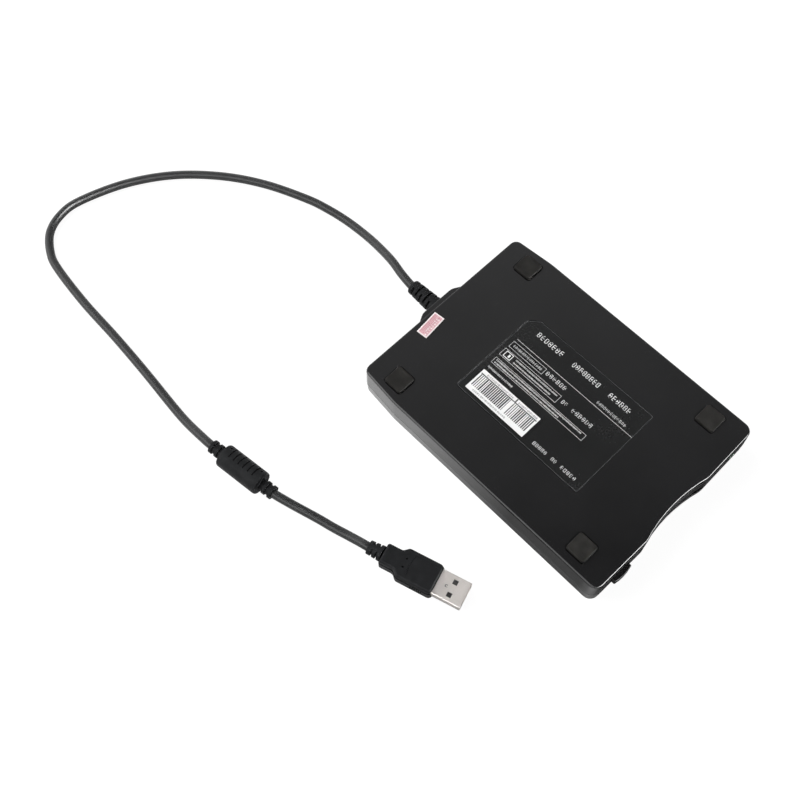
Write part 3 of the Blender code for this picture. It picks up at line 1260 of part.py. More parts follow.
def stepper_motor():
    """Stepper motor let into the chassis floor, its lead screw and the end bracket."""
    rear = MOTOR_FRONT + MOTOR_LENGTH
    turned("stepper_motor", [
        (0.0, rear - MOTOR_FRONT), (MOTOR_RADIUS - GAP, rear - MOTOR_FRONT),
        (MOTOR_RADIUS, rear - MOTOR_FRONT - GAP), (MOTOR_RADIUS, GAP),
        (MOTOR_RADIUS - GAP, 0.0), (0.0, 0.0)],
        PARTS, STEEL, at=(MOTOR_X, MOTOR_FRONT, MOTOR_Z), axis="Y")
    front = LEAD_FRONT
    screw_rear = MOTOR_FRONT - GAP
    bracket_rear = front + BRACKET_THICKNESS
    turned("lead_screw", [
        (0.0, screw_rear - front), (LEAD_RADIUS, screw_rear - front),
        (LEAD_RADIUS, bracket_rear + GAP - front), (LEAD_RADIUS / 2, bracket_rear + GAP - front),
        (LEAD_RADIUS / 2, 0.0), (0.0, 0.0)],
        PARTS, BRASS, SMALL_SEGMENTS, at=(MOTOR_X, front, MOTOR_Z), axis="Y")
    half = ROD_BLOCK_WIDTH / 2
    bracket = boxes("screw_bracket", [
        ((MOTOR_X - half, front, MOTOR_Z - half), (MOTOR_X + half, bracket_rear, BOARD_HIGH))],
        PARTS, WHITE_PLASTIC)
    cut(bracket, cylinders("bracket_bore", [
        ((MOTOR_X, front, MOTOR_Z), LEAD_RADIUS / 2 + SLIDE_GAP, CASE_HEIGHT, "Y")]))


def chips(name, places, low, high):
    return boxes(name, [((x - w / 2, y - d / 2, low), (x + w / 2, y + d / 2, high))
                        for x, y, w, d in places])


def boards():
    """Control board under the chassis floor, converter board at the rear, flat cable."""
    left, right = DRIVE_BOARD_LEFT, DRIVE_BOARD_RIGHT
    front, rear = DRIVE_BOARD_FRONT, DRIVE_BOARD_REAR
    width, depth = right - left, rear - front
    board = prism("drive_board", [
        rectangle(width, depth, GAP, ((left + right) / 2, (front + rear) / 2)),
        circle(LEVER_HUB_RADIUS + GAP, SMALL_SEGMENTS, (LEVER_X, LEVER_Y))],
        BOARD_LOW, BOARD_HIGH, PARTS, GREEN_BOARD)
    chip_width, chip_depth = width / 3, depth / 4
    fuse(board, chips("drive_chips", [
        (left + width / 3, front + depth / 5, chip_width, chip_depth),
        (left + width / 3, front + depth / 2, chip_width / 2, chip_depth / 2),
        (right - width / 5, front + depth / 5, chip_width / 2, chip_depth / 3)],
        BOARD_LOW - CHIP_HEIGHT, BOARD_LOW + BOARD_THICKNESS / 2))
    half = USB_BOARD_WIDTH / 2
    usb_front = USB_BOARD_FRONT
    usb_rear = usb_front + USB_BOARD_DEPTH
    high = USB_BOARD_LOW + BOARD_THICKNESS
    usb = boxes("usb_board", [((-half, usb_front, USB_BOARD_LOW), (half, usb_rear, high))],
                PARTS, GREEN_BOARD)
    middle = (usb_front + usb_rear) / 2
    size = USB_BOARD_DEPTH * 2 / 3
    fuse(usb, chips("usb_chips", [
        (0.0, middle, size, size), (-half / 2, middle, size / 2, size / 2),
        (-half * 3 / 4, middle, size, size / 3)],
        USB_BOARD_LOW - CHIP_HEIGHT, USB_BOARD_LOW + BOARD_THICKNESS / 2))
    flat_cable(high + GAP, BOARD_LOW - GAP, usb_front, rear)


def flat_cable(low, high, usb_front, board_rear):
    """Flexible flat cable bent up from the converter board to the control board."""
    tail = USB_BOARD_DEPTH / 2
    top = high - CABLE_THICKNESS
    lower = [(usb_front + tail, low), (usb_front - GAP, low), (board_rear + tail, top),
             (board_rear - tail, top)]
    upper = [(y, z + CABLE_THICKNESS) for y, z in lower[::-1]]
    prism("flat_cable", [rounded([(y, z, CABLE_THICKNESS if 0 < i % 4 < 3 else 0.0)
                                  for i, (y, z) in enumerate(lower + upper)])],
          CABLE_X - CABLE_WIDTH / 2, CABLE_X + CABLE_WIDTH / 2, PARTS, AMBER_FILM, axis="X")


def rings(name, places, width, inner, outer):
    """Flat rings round +X, each given by the place of its middle, as one mesh."""
    form = bmesh.new()
    for place_x in places:
        corners = ((place_x - width / 2, inner), (place_x - width / 2, outer),
                   (place_x + width / 2, outer), (place_x + width / 2, inner))
        loops = [[form.verts.new((x, radius * math.cos(turn), radius * math.sin(turn)))
                  for x, radius in corners]
                 for turn in (math.pi * (2 * i + 1) / MOULDED_SEGMENTS
                              for i in range(MOULDED_SEGMENTS))]
        for i, loop in enumerate(loops):
            after = loops[(i + 1) % MOULDED_SEGMENTS]
            for k in range(len(corners)):
                m = (k + 1) % len(corners)
                form.faces.new((loop[k], loop[m], after[m], after[k]))
    bmesh.ops.recalc_face_normals(form, faces=form.faces)
    mesh = bpy.data.meshes.new(name)
    form.to_mesh(mesh)
    form.free()
    return place(bpy.data.objects.new(name, mesh), CUTTERS)


def slots(name, places, width, core, radius, web, above):
    """Cutters for pairs of slots round +X, above and below or at both sides."""
    made = rings(name, places, width, core, radius + CUT_OVERRUN)
    first, last = places[0] - 2 * width, places[-1] + 2 * width
    far = radius + 2 * CUT_OVERRUN
    spans = [((first, -web / 2, -far), (last, web / 2, far))]
    if above:
        spans = [((first, -far, -web / 2), (last, far, web / 2))]
    webs = boxes(name + "_webs", spans)
    cut(made, webs)
    return [made, webs]


def cable_gland():
    """Tapered strain relief with staggered slots, held by its flange in the bulge."""
    start = BULGE_FACE + GAP
    length = GLAND_TIP_Y - start
    wall_in = BULGE_FACE - WALL - GAP
    flange = wall_in - GLAND_FLANGE_DEPTH
    gland = turned("cable_gland", [
        (0.0, length), (GLAND_TIP_RADIUS - GLAND_EDGE, length),
        (GLAND_TIP_RADIUS, length - GLAND_EDGE), (GLAND_BASE_RADIUS, 0.0),
        (GLAND_NECK_RADIUS, 0.0), (GLAND_NECK_RADIUS, wall_in - start),
        (GLAND_FLANGE_RADIUS, wall_in - start), (GLAND_FLANGE_RADIUS, flange - start),
        (0.0, flange - start)],
        PARTS, CORD_BLACK, MOULDED_SEGMENTS, at=(0.0, start, GLAND_Z), axis="Y")
    pitch = length / (GLAND_ROW_COUNT + 1)
    rows = [pitch * (i + 1) for i in range(GLAND_ROW_COUNT)]
    for name, places, above in (("gland_side_slots", rows[::2], False),
                                ("gland_top_slots", rows[1::2], True)):
        made = slots(name, places, GLAND_SLOT, GLAND_CORE_RADIUS, GLAND_BASE_RADIUS, GLAND_WEB, above)
        for cutter in made:
            cutter.location = (0.0, start, GLAND_Z)
            cutter.rotation_euler.z = math.pi / 2
        cut(gland, made[0])
    return gland


def direction(turn):
    """Level direction at an angle to +X."""
    return Vector((math.cos(turn), math.sin(turn), 0.0))


def along(start, height, turn, distance):
    """Point at a distance along a piece that lies turned on the table."""
    return Vector((start[0], GLAND_TIP_Y + start[1], height)) + direction(turn) * distance


def curve_through(points, leave, arrive):
    """Fine points of a smooth curve that leaves and arrives in given directions."""
    first = (points[1] - points[0]).length
    last = (points[-1] - points[-2]).length
    padded = [points[1] - 2 * first * leave] + points + [points[-2] + 2 * last * arrive]
    steps = len(points)
    fine = []
    for i in range(1, len(padded) - 2):
        a, b, c, d = padded[i - 1:i + 3]
        for k in range(steps):
            t = k / steps
            fine.append((2 * b + (c - a) * t + (2 * a - 5 * b + 4 * c - d) * t ** 2
                         + (3 * b - a - 3 * c + d) * t ** 3) / 2)
    return fine + [points[-1]]


def even_points(fine):
    """Points read from a fine line at even steps."""
    length = sum((b - a).length for a, b in zip(fine, fine[1:]))
    count = max(2, round(length / CORD_SPACING))
    line = [fine[0]]
    walked = 0.0
    for a, b in zip(fine, fine[1:]):
        step = (b - a).length
        while len(line) < count and walked + step >= length * len(line) / count:
            line.append(a.lerp(b, (length * len(line) / count - walked) / step))
        walked += step
    return line + [fine[-1]]


def cord(name, start, leave, route, end, arrive):
    """Cable between two faces, square to both, lying on the table in between."""
    first = start + leave * CORD_STUB
    last = end - arrive * CORD_STUB
    between = [Vector((x, GLAND_TIP_Y + y, z)) for x, y, z in route]
    line = even_points(curve_through([first] + between + [last], leave, arrive))
    floor = CORD_RADIUS + TABLE_CLEARANCE
    line = [start] + [Vector((p.x, p.y, max(p.z, floor))) for p in line] + [end]
    curve = bpy.data.curves.new(name, "CURVE")
    curve.dimensions = "3D"
    curve.bevel_depth = CORD_RADIUS
    curve.bevel_resolution = CORD_SIDES_LEVEL
    curve.use_fill_caps = True
    spline = curve.splines.new("POLY")
    spline.points.add(len(line) - 1)
    for point, co in zip(spline.points, line):
        point.co = (*co, 1.0)
    curve.materials.append(CORD_BLACK)
    made = bpy.data.objects.new(name, curve)
    PARTS.objects.link(made)
    return made


def cords():
    to_rear = Vector((0.0, 1.0, 0.0))
    bead_way = direction(BEAD_TURN)
    plug_way = direction(PLUG_TURN)
    cord("cord_main", Vector((0.0, GLAND_TIP_Y + GAP, GLAND_Z)), to_rear, CORD_MAIN_ROUTE,
         along(BEAD_START, BEAD_Z, BEAD_TURN, -GAP), bead_way)
    cord("cord_tail", along(BEAD_START, BEAD_Z, BEAD_TURN, BEAD_TOTAL + GAP), bead_way,
         CORD_TAIL_ROUTE, along(PLUG_START, PLUG_Z, PLUG_TURN, -GAP), plug_way)


def frame_at(name, start, height, turn):
    """Empty whose +X runs along a piece that lies turned on the table."""
    made = bpy.data.objects.new(name, None)
    made.location = along(start, height, turn, 0.0)
    made.rotation_euler.z = turn
    made.hide_render = True
    CUTTERS.objects.link(made)
    return made


def carry(parent, *children):
    for child in children:
        child.parent = parent


def ferrite_bead():
    """Moulded bead with two ribbed collars, a grooved panel and two small holes."""
    base = frame_at("bead_frame", BEAD_START, BEAD_Z, BEAD_TURN)
    side = (BEAD_TOTAL - BEAD_LENGTH) / 2
    profile = [(0.0, 0.0), (COLLAR_RADIUS, 0.0)]
    gap = (side - 2 * COLLAR_RIB) / 2
    x = COLLAR_RIB
    half = [(0.0, 0.0), (COLLAR_RADIUS, 0.0), (COLLAR_RADIUS, x), (COLLAR_CORE, x),
            (COLLAR_CORE, x + gap), (COLLAR_RADIUS, x + gap), (COLLAR_RADIUS, 2 * x + gap),
            (COLLAR_CORE, 2 * x + gap), (COLLAR_CORE, side), (BEAD_RADIUS - BEAD_EDGE, side),
            (BEAD_RADIUS - BEAD_EDGE / 4, side + BEAD_EDGE / 4),
            (BEAD_RADIUS, side + BEAD_EDGE)]
    profile = [(r, BEAD_TOTAL - h) for r, h in half] + half[::-1]
    bead = turned("ferrite_bead", profile, PARTS, CORD_BLACK, MOULDED_SEGMENTS, axis="X")
    middle = BEAD_TOTAL / 2
    first = middle - (BEAD_GROOVE_COUNT - 1) * BEAD_GROOVE_PITCH / 2
    grooves = rings("bead_grooves", [first + i * BEAD_GROOVE_PITCH for i in range(BEAD_GROOVE_COUNT)],
                    BEAD_GROOVE, BEAD_RADIUS - BEAD_GROOVE_DEPTH, BEAD_RADIUS + CUT_OVERRUN)
    far = BEAD_RADIUS + 2 * CUT_OVERRUN
    plain = boxes("bead_plain_side", [
        ((0.0, -far, -far), (BEAD_TOTAL, far, BEAD_RADIUS * math.cos(BEAD_PANEL_HALF)))])
    cut(grooves, plain)
    reach = BEAD_LENGTH / 2 - BEAD_HOLE_FROM_END
    holes = cylinders("bead_holes", [
        ((middle + sign * reach, 0.0, BEAD_RADIUS), BEAD_HOLE_RADIUS, 2 * BEAD_EDGE, "Z")
        for sign in (-1, 1)])
    for cutter in (grooves, plain, holes):
        cutter.rotation_euler.x = -BEAD_PANEL_TURN
    cut(bead, grooves, holes)
    carry(base, bead, grooves, plain, holes)
    return bead


def plug_outline(inset=0.0):
    neck_start = RELIEF_LENGTH + inset
    neck_end = RELIEF_LENGTH + NECK_LENGTH + inset / 2
    body_start = RELIEF_LENGTH + NECK_LENGTH + SHOULDER_LENGTH + inset / 2
    body_end = RELIEF_LENGTH + NECK_LENGTH + SHOULDER_LENGTH + BODY_LENGTH - inset
    neck, body = NECK_WIDTH / 2 - inset, BODY_WIDTH / 2 - inset
    right = [(neck_start, -neck, BODY_EDGE), (neck_end, -neck, BODY_CORNER),
             (body_start, -body, BODY_CORNER), (body_end, -body, BODY_CORNER)]
    return rounded(right + [(x, -y, r) for x, y, r in right[::-1]])


def plug_marks(body_start, half):
    """Cutters for the grip ridges, the two small holes and the bare sunk field."""
    side = BODY_WIDTH / 2
    first = body_start + GRIP_START
    low, high = -half / 2, BODY_LEDGE_RISE - BODY_LEDGE
    spans = []
    for i in range(GRIP_COUNT):
        x = first + i * GRIP_PITCH
        spans += [((x, side - GRIP_DEPTH, low), (x + GRIP_WIDTH, side + CUT_OVERRUN, high)),
                  ((x, -side - CUT_OVERRUN, low), (x + GRIP_WIDTH, GRIP_DEPTH - side, high))]
    grips = boxes("plug_grips", spans)
    holes = cylinders("plug_dimples", [
        ((body_start + DIMPLE_START, sign * DIMPLE_PITCH / 2, half), DIMPLE_RADIUS,
         2 * DIMPLE_DEPTH, "Z") for sign in (-1, 1)])
    x, across = body_start + FIELD_START, FIELD_WIDTH / 2
    field = prism("plug_field", [rounded([
        (x, -across, BODY_EDGE / 2), (x + FIELD_LENGTH, -across, BODY_EDGE / 2),
        (x + FIELD_LENGTH, across, BODY_EDGE / 2), (x, across, BODY_EDGE / 2),
        (x - FIELD_BOW, 0.0, FIELD_WIDTH)])], half - FIELD_DEPTH, half + CUT_OVERRUN)
    return [grips, holes, field]


def usb_plug():
    """Plug lying on the table: slotted relief, moulded body, metal shell and tongue."""
    base = frame_at("plug_frame", PLUG_START, PLUG_Z, PLUG_TURN)
    body_start = RELIEF_LENGTH + NECK_LENGTH + SHOULDER_LENGTH
    body_end = body_start + BODY_LENGTH
    half = PLUG_HEIGHT / 2
    body = prism("plug_body", [plug_outline()], -half, BODY_LEDGE_RISE, PARTS, CORD_BLACK)
    soften_rim(body, -half, BODY_EDGE)
    upper = prism("plug_upper", [plug_outline(BODY_LEDGE)], -half / 2, half)
    soften_rim(upper, half, BODY_EDGE)
    fuse(body, upper)
    marks = plug_marks(body_start, half)
    cut(body, *marks)
    shell_half = SHELL_WIDTH / 2
    shell_rise = SHELL_HEIGHT / 2
    inside = BODY_LENGTH / 4
    socket = boxes("plug_socket", [
        ((body_end - inside - GAP, -shell_half - GAP, -shell_rise - GAP),
         (body_end + CUT_OVERRUN, shell_half + GAP, shell_rise + GAP))])
    cut(body, socket)
    relief = turned("plug_relief", [
        (0.0, RELIEF_LENGTH - GAP), (RELIEF_RADIUS, RELIEF_LENGTH - GAP),
        (RELIEF_RADIUS - GLAND_EDGE, 0.0), (0.0, 0.0)], PARTS, CORD_BLACK, MOULDED_SEGMENTS,
        axis="X")
    pitch = RELIEF_LENGTH / (RELIEF_ROW_COUNT + 1)
    rows = [pitch * (i + 1) for i in range(RELIEF_ROW_COUNT)]
    relief_slots = slots("relief_slots", rows, RELIEF_SLOT, RELIEF_CORE_RADIUS, RELIEF_RADIUS,
                         RELIEF_WEB, False)
    cut(relief, relief_slots[0])
    tip = body_end + SHELL_LENGTH
    start = body_end - inside
    shell = boxes("plug_shell", [
        ((start, -shell_half, -shell_rise), (tip, shell_half, shell_rise))],
        PARTS, PLUG_STEEL)
    hole_x = body_end + SHELL_HOLE_X
    shell_inner = boxes("shell_hollow", [
        ((start + SHELL_SHEET, -shell_half + SHELL_SHEET, -shell_rise + SHELL_SHEET),
         (tip + CUT_OVERRUN, shell_half - SHELL_SHEET, shell_rise - SHELL_SHEET))])
    hole = SHELL_HOLE / 2
    shell_holes = boxes("shell_holes", [
        ((hole_x - hole, y - hole, -shell_rise - CUT_OVERRUN),
         (hole_x + hole, y + hole, shell_rise + CUT_OVERRUN))
        for y in (-SHELL_HOLE_PITCH / 2, SHELL_HOLE_PITCH / 2)])
    tab_x, tab, slit = body_end + SHELL_TAB_X, SHELL_TAB / 2, SHELL_TAB_SLIT
    shell_slit = prism("shell_slit", [[
        (tab_x, -tab), (tab_x + SHELL_TAB, -tab), (tab_x + SHELL_TAB, slit - tab),
        (tab_x + slit, slit - tab), (tab_x + slit, tab - slit), (tab_x + SHELL_TAB, tab - slit),
        (tab_x + SHELL_TAB, tab), (tab_x, tab)]], 0.0, shell_rise + CUT_OVERRUN)
    cut(shell, shell_inner, shell_holes, shell_slit)
    tongue_half = shell_half - SHELL_SHEET - GAP
    tongue_low = -shell_rise + SHELL_SHEET + GAP
    tongue = boxes("plug_tongue", [
        ((start + SHELL_SHEET + GAP, -tongue_half, tongue_low),
         (body_end + TONGUE_LENGTH, tongue_half, tongue_low + TONGUE_HEIGHT))],
        PARTS, WHITE_PLASTIC)
    carry(base, body, upper, socket, relief, shell, shell_inner, shell_holes, shell_slit, tongue,
          *marks, *relief_slots)


def build():
    bottom_cover()
    top_cover()
    front_bezel()
    slot_flap()
    eject_button()
    light_pipe()
    feet()
    labels()
    case_screws()
    chassis()
    mech_cover()
    eject_plate()
    disk_cage()
    latch()
    spindle_motor()
    head_positioner()
    boards()
    cable_gland()
    cords()
    ferrite_bead()
    usb_plug()


build()
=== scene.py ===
"""Looks of an external floppy disk drive: its finishes, its print and its fine detail."""

import json
import math

import bmesh
import bpy
from mathutils import Matrix, Vector


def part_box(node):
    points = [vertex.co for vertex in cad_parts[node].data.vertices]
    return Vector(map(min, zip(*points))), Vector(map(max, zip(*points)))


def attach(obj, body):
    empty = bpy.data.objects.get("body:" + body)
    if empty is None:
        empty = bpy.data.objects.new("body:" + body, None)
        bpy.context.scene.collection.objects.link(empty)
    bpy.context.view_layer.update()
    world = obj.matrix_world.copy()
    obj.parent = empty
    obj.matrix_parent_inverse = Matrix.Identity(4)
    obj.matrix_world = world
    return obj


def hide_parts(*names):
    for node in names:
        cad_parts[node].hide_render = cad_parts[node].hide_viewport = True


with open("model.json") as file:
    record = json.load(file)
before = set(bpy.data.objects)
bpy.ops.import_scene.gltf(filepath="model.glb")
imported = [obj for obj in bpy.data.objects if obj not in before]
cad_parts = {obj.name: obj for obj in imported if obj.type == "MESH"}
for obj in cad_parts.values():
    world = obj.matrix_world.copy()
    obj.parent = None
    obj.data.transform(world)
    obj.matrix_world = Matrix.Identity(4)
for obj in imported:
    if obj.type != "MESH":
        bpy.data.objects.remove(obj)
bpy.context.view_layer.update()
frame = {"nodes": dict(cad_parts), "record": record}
SOLIDS = frame["nodes"]
SCENE = bpy.context.scene
MM = 0.001
QUARTER_TURN = math.pi / 2
# Where a colour Mix node takes its factor and its two colours, and gives its result
MIX_FACTOR, MIX_FIRST, MIX_SECOND, MIX_RESULT = 0, 6, 7, 2

# Where the picture is taken from
CAMERA_AT = Vector((-186.72, -101.22, 451.11)) * MM
CAMERA_LOOK = Vector((0.2885, 0.3124, -0.9051))
CAMERA_UP = Vector((0.6334, 0.6465, 0.4251))
LENS = 48.56
SENSOR = 36.0

# The cable, in millimetres
CABLE_RADIUS = 2.1
CABLE_STEP = 2.0
MAIN_CABLE = [
    (0.0, 89.6, 9.3), (0.0, 91.8, 9.3), (1.2, 99.0, 9.0), (3.5, 108.2, 8.0),
    (5.6, 120.8, 5.3), (6.5, 131.6, 3.2), (6.1, 143.5, 2.15), (4.2, 154.7, 2.15),
    (0.8, 167.1, 2.15), (-8.5, 189.0, 2.15), (-21.3, 208.7, 2.15), (-38.5, 226.3, 2.15),
    (-59.0, 239.1, 2.15), (-81.7, 246.7, 2.15), (-93.8, 246.7, 2.15), (-104.1, 241.7, 2.15),
    (-111.2, 231.4, 2.15), (-114.0, 221.0, 2.15), (-116.3, 197.1, 2.15),
    (-117.1, 172.3, 2.15), (-118.5, 148.2, 2.15), (-120.4, 124.9, 2.15),
    (-121.1, 113.7, 3.1), (-121.1, 103.0, 5.0), (-120.86, 96.8, 5.75), (-120.55, 94.4, 5.75),
]
TAIL_CABLE = [
    (-115.92, 59.3, 5.75), (-115.64, 57.2, 5.75), (-113.1, 49.0, 4.5), (-110.8, 42.5, 3.1),
    (-108.8, 36.4, 2.2), (-107.1, 29.9, 2.15), (-105.2, 23.5, 2.3), (-103.7, 17.3, 3.6),
    (-103.05, 14.1, 4.45), (-102.5, 12.0, 4.45),
]
BEAD_START = (-120.6, 94.8, 5.75)
BEAD_TURN = math.radians(-82.5)
PLUG_START = (-102.5, 12.2, 4.45)
PLUG_TURN = math.radians(-72.4)


def stand_camera():
    """Set the camera where the photograph was taken from."""
    back = -CAMERA_LOOK.normalized()
    right = CAMERA_UP.cross(back).normalized()
    up = back.cross(right)
    data = bpy.data.cameras.new("camera")
    data.lens = LENS
    data.sensor_width = SENSOR
    data.clip_start = 0.01
    data.clip_end = 20.0
    made = bpy.data.objects.new("camera", data)
    made.matrix_world = (Matrix.Translation(CAMERA_AT)
                         @ Matrix((right, up, back)).transposed().to_4x4())
    SCENE.collection.objects.link(made)
    SCENE.camera = made


stand_camera()


# Finishes

def finish(name, colour, roughness, metallic=0.0, specular=0.5):
    """A new finish, with its node tree and its shader."""
    made = bpy.data.materials.new(name)
    made.use_nodes = True
    tree = made.node_tree
    shader = tree.nodes["Principled BSDF"]
    shader.inputs["Base Color"].default_value = (*colour, 1.0)
    shader.inputs["Roughness"].default_value = roughness
    shader.inputs["Metallic"].default_value = metallic
    shader.inputs["Specular IOR Level"].default_value = specular
    made.diffuse_color = (*colour, 1.0)
    return made, tree, shader


def node(tree, kind, **settings):
    """A new node with its settings."""
    made = tree.nodes.new(kind)
    for key, value in settings.items():
        setattr(made, key, value)
    return made


def surface_points(tree, stretch=(1.0, 1.0, 1.0), turn=(0.0, 0.0, 0.0)):
    """Points of the piece itself, stretched or turned for a drawn pattern."""
    place = node(tree, "ShaderNodeTexCoord")
    bend = node(tree, "ShaderNodeMapping")
    bend.inputs["Scale"].default_value = stretch
    bend.inputs["Rotation"].default_value = turn
    tree.links.new(place.outputs["Object"], bend.inputs["Vector"])
    return bend.outputs["Vector"]


def grain(tree, scale, detail=2.0, roughness=0.5, stretch=(1.0, 1.0, 1.0), turn=(0.0, 0.0, 0.0)):
    """Cloudy noise on the piece, about 0 to 1."""
    made = node(tree, "ShaderNodeTexNoise")
    made.inputs["Scale"].default_value = scale
    made.inputs["Detail"].default_value = detail
    made.inputs["Roughness"].default_value = roughness
    tree.links.new(surface_points(tree, stretch, turn), made.inputs["Vector"])
    return made.outputs["Fac"]


def specks(tree, scale):
    """Distance from scattered points on the piece."""
    made = node(tree, "ShaderNodeTexVoronoi")
    made.inputs["Scale"].default_value = scale
    tree.links.new(surface_points(tree), made.inputs["Vector"])
    return made.outputs["Distance"]


def ranged(tree, value, low, high, start=0.0, end=1.0):
    """From low to high while value goes from start to end."""
    made = node(tree, "ShaderNodeMapRange")
    made.inputs["From Min"].default_value = start
    made.inputs["From Max"].default_value = end
    made.inputs["To Min"].default_value = low
    made.inputs["To Max"].default_value = high
    tree.links.new(value, made.inputs["Value"])
    return made.outputs["Result"]


def shades(tree, value, dark, light):
    """From the dark colour to the light one while value goes from 0 to 1."""
    made = node(tree, "ShaderNodeMix", data_type="RGBA")
    made.inputs[MIX_FIRST].default_value = (*dark, 1.0)
    made.inputs[MIX_SECOND].default_value = (*light, 1.0)
    tree.links.new(value, made.inputs[MIX_FACTOR])
    return made.outputs[MIX_RESULT]


def over(tree, value, below, above):
    """One shade over another where value rises."""
    made = node(tree, "ShaderNodeMix", data_type="RGBA")
    tree.links.new(value, made.inputs[MIX_FACTOR])
    tree.links.new(below, made.inputs[MIX_FIRST])
    made.inputs[MIX_SECOND].default_value = (*above, 1.0)
    return made.outputs[MIX_RESULT]


def together(tree, operation, first, *others):
    """Several values added, multiplied or compared, one after the other."""
    for other in others:
        made = node(tree, "ShaderNodeMath", operation=operation)
        tree.links.new(first, made.inputs[0])
        tree.links.new(other, made.inputs[1])
        first = made.outputs[0]
    return first


def relief(tree, shader, value, depth):
    """Raise the surface a little where value rises."""
    made = node(tree, "ShaderNodeBump")
    made.inputs["Distance"].default_value = depth
    tree.links.new(value, made.inputs["Height"])
    tree.links.new(made.outputs["Normal"], shader.inputs["Normal"])


# How often each pattern repeats in a metre
CLOUDS, SCUFFS, DUST, MOTTLE = 45.0, 260.0, 330.0, 220.0
FINE_GLOSS, RUBBED_GLOSS, PAPER_FIBRE, PAPER_TOOTH = 900.0, 700.0, 1800.0, 2500.0
DRAWN_LINES, METAL_WEAR, FILM_TRACKS, BOARD_TRACKS = 2600.0, 160.0, 1500.0, 420.0


def worn_plastic(name, dark, light, smooth, dull, grain_size, grain_depth, specular=0.5,
                 wear=1.0):
    """Moulded plastic: clouded tone, spark-eroded grain, dust specks and faint scuffs."""
    made, tree, shader = finish(name, light, (smooth + dull) / 2, specular=specular)
    clouds = ranged(tree, grain(tree, CLOUDS, 3.0), 0.0, 1.0, 0.35, 0.65)
    scuffs = ranged(tree, grain(tree, SCUFFS, 4.0, 0.6, (0.05, 1.0, 1.0), (0.0, 0.0, 0.6)),
                    0.0, 0.35 * wear, 0.66, 0.74)
    dust = ranged(tree, specks(tree, DUST), 0.25 * wear, 0.0, 0.0, 0.09)
    tone = over(tree, scuffs, shades(tree, clouds, dark, light),
                tuple(2.2 * c for c in light))
    tone = over(tree, together(tree, "MULTIPLY", dust, clouds), tone,
                tuple(3.0 * c for c in light))
    tree.links.new(tone, shader.inputs["Base Color"])
    gloss = ranged(tree, together(tree, "ADD", clouds, grain(tree, FINE_GLOSS)), smooth, dull,
                   0.3, 1.6)
    tree.links.new(together(tree, "ADD", gloss, ranged(tree, scuffs, 0.0, 0.08)),
                   shader.inputs["Roughness"])
    relief(tree, shader, grain(tree, 1.0 / grain_size, 3.0, 0.6), grain_depth)
    return made


def soft_rubber(name, dark, light, roughness, pore, depth, specular=0.35):
    """Rubbery moulding: dull, with fine pores and a slightly uneven tone."""
    made, tree, shader = finish(name, light, roughness, specular=specular)
    tone = ranged(tree, grain(tree, MOTTLE, 4.0), 0.0, 1.0, 0.3, 0.7)
    tree.links.new(shades(tree, tone, dark, light), shader.inputs["Base Color"])
    gloss = ranged(tree, grain(tree, RUBBED_GLOSS, 3.0), roughness - 0.08, roughness + 0.10)
    tree.links.new(gloss, shader.inputs["Roughness"])
    pores = together(tree, "ADD", grain(tree, 1.0 / pore, 3.0, 0.65),
                     ranged(tree, specks(tree, 0.5 / pore), 0.0, 0.5, 0.0, 0.25))
    relief(tree, shader, pores, depth)
    return made


def drawn_metal(name, dark, light, roughness, turn, streak=0.04, spread=0.10, metallic=1.0):
    """Metal with fine drawing lines along one direction and cloudy wear."""
    made, tree, shader = finish(name, light, roughness, metallic)
    lines = grain(tree, DRAWN_LINES, 3.0, 0.6, (streak, 1.0, 1.0), (0.0, 0.0, -turn))
    wear = together(tree, "ADD", lines, grain(tree, METAL_WEAR, 4.0))
    tree.links.new(shades(tree, ranged(tree, wear, 0.0, 1.0, 0.6, 1.4), dark, light),
                   shader.inputs["Base Color"])
    tree.links.new(ranged(tree, wear, roughness - spread, roughness + spread, 0.5, 1.5),
                   shader.inputs["Roughness"])
    relief(tree, shader, lines, 0.000004)
    return made


def printed(name, colour, roughness, mottle=0.08):
    """Ink or paper: an even colour with a slightly uneven lay."""
    made, tree, shader = finish(name, colour, roughness, specular=0.4)
    low = tuple(c * (1.0 - mottle) for c in colour)
    tree.links.new(shades(tree, grain(tree, PAPER_FIBRE, 4.0, 0.6), low, colour),
                   shader.inputs["Base Color"])
    tree.links.new(ranged(tree, grain(tree, FINE_GLOSS), roughness - 0.08, roughness + 0.08),
                   shader.inputs["Roughness"])
    relief(tree, shader, grain(tree, PAPER_TOOTH, 3.0), 0.000008)
    return made


def clear_moulding(name):
    """Greenish clear plastic with a slightly uneven gloss."""
    made, tree, shader = finish(name, (0.62, 0.80, 0.66), 0.12)
    shader.inputs["Transmission Weight"].default_value = 0.85
    shader.inputs["IOR"].default_value = 1.49
    tree.links.new(ranged(tree, grain(tree, FINE_GLOSS), 0.06, 0.20), shader.inputs["Roughness"])
    relief(tree, shader, grain(tree, 400.0), 0.00001)
    return made


def amber_polyimide(name):
    """Amber film with fine tracks along it."""
    made, tree, shader = finish(name, (0.55, 0.32, 0.08), 0.35)
    lines = grain(tree, FILM_TRACKS, 1.0, 0.5, (1.0, 0.03, 0.03))
    tree.links.new(shades(tree, ranged(tree, lines, 0.0, 1.0, 0.45, 0.55),
                          (0.42, 0.22, 0.05), (0.62, 0.38, 0.11)), shader.inputs["Base Color"])
    tree.links.new(ranged(tree, lines, 0.25, 0.42), shader.inputs["Roughness"])
    return made


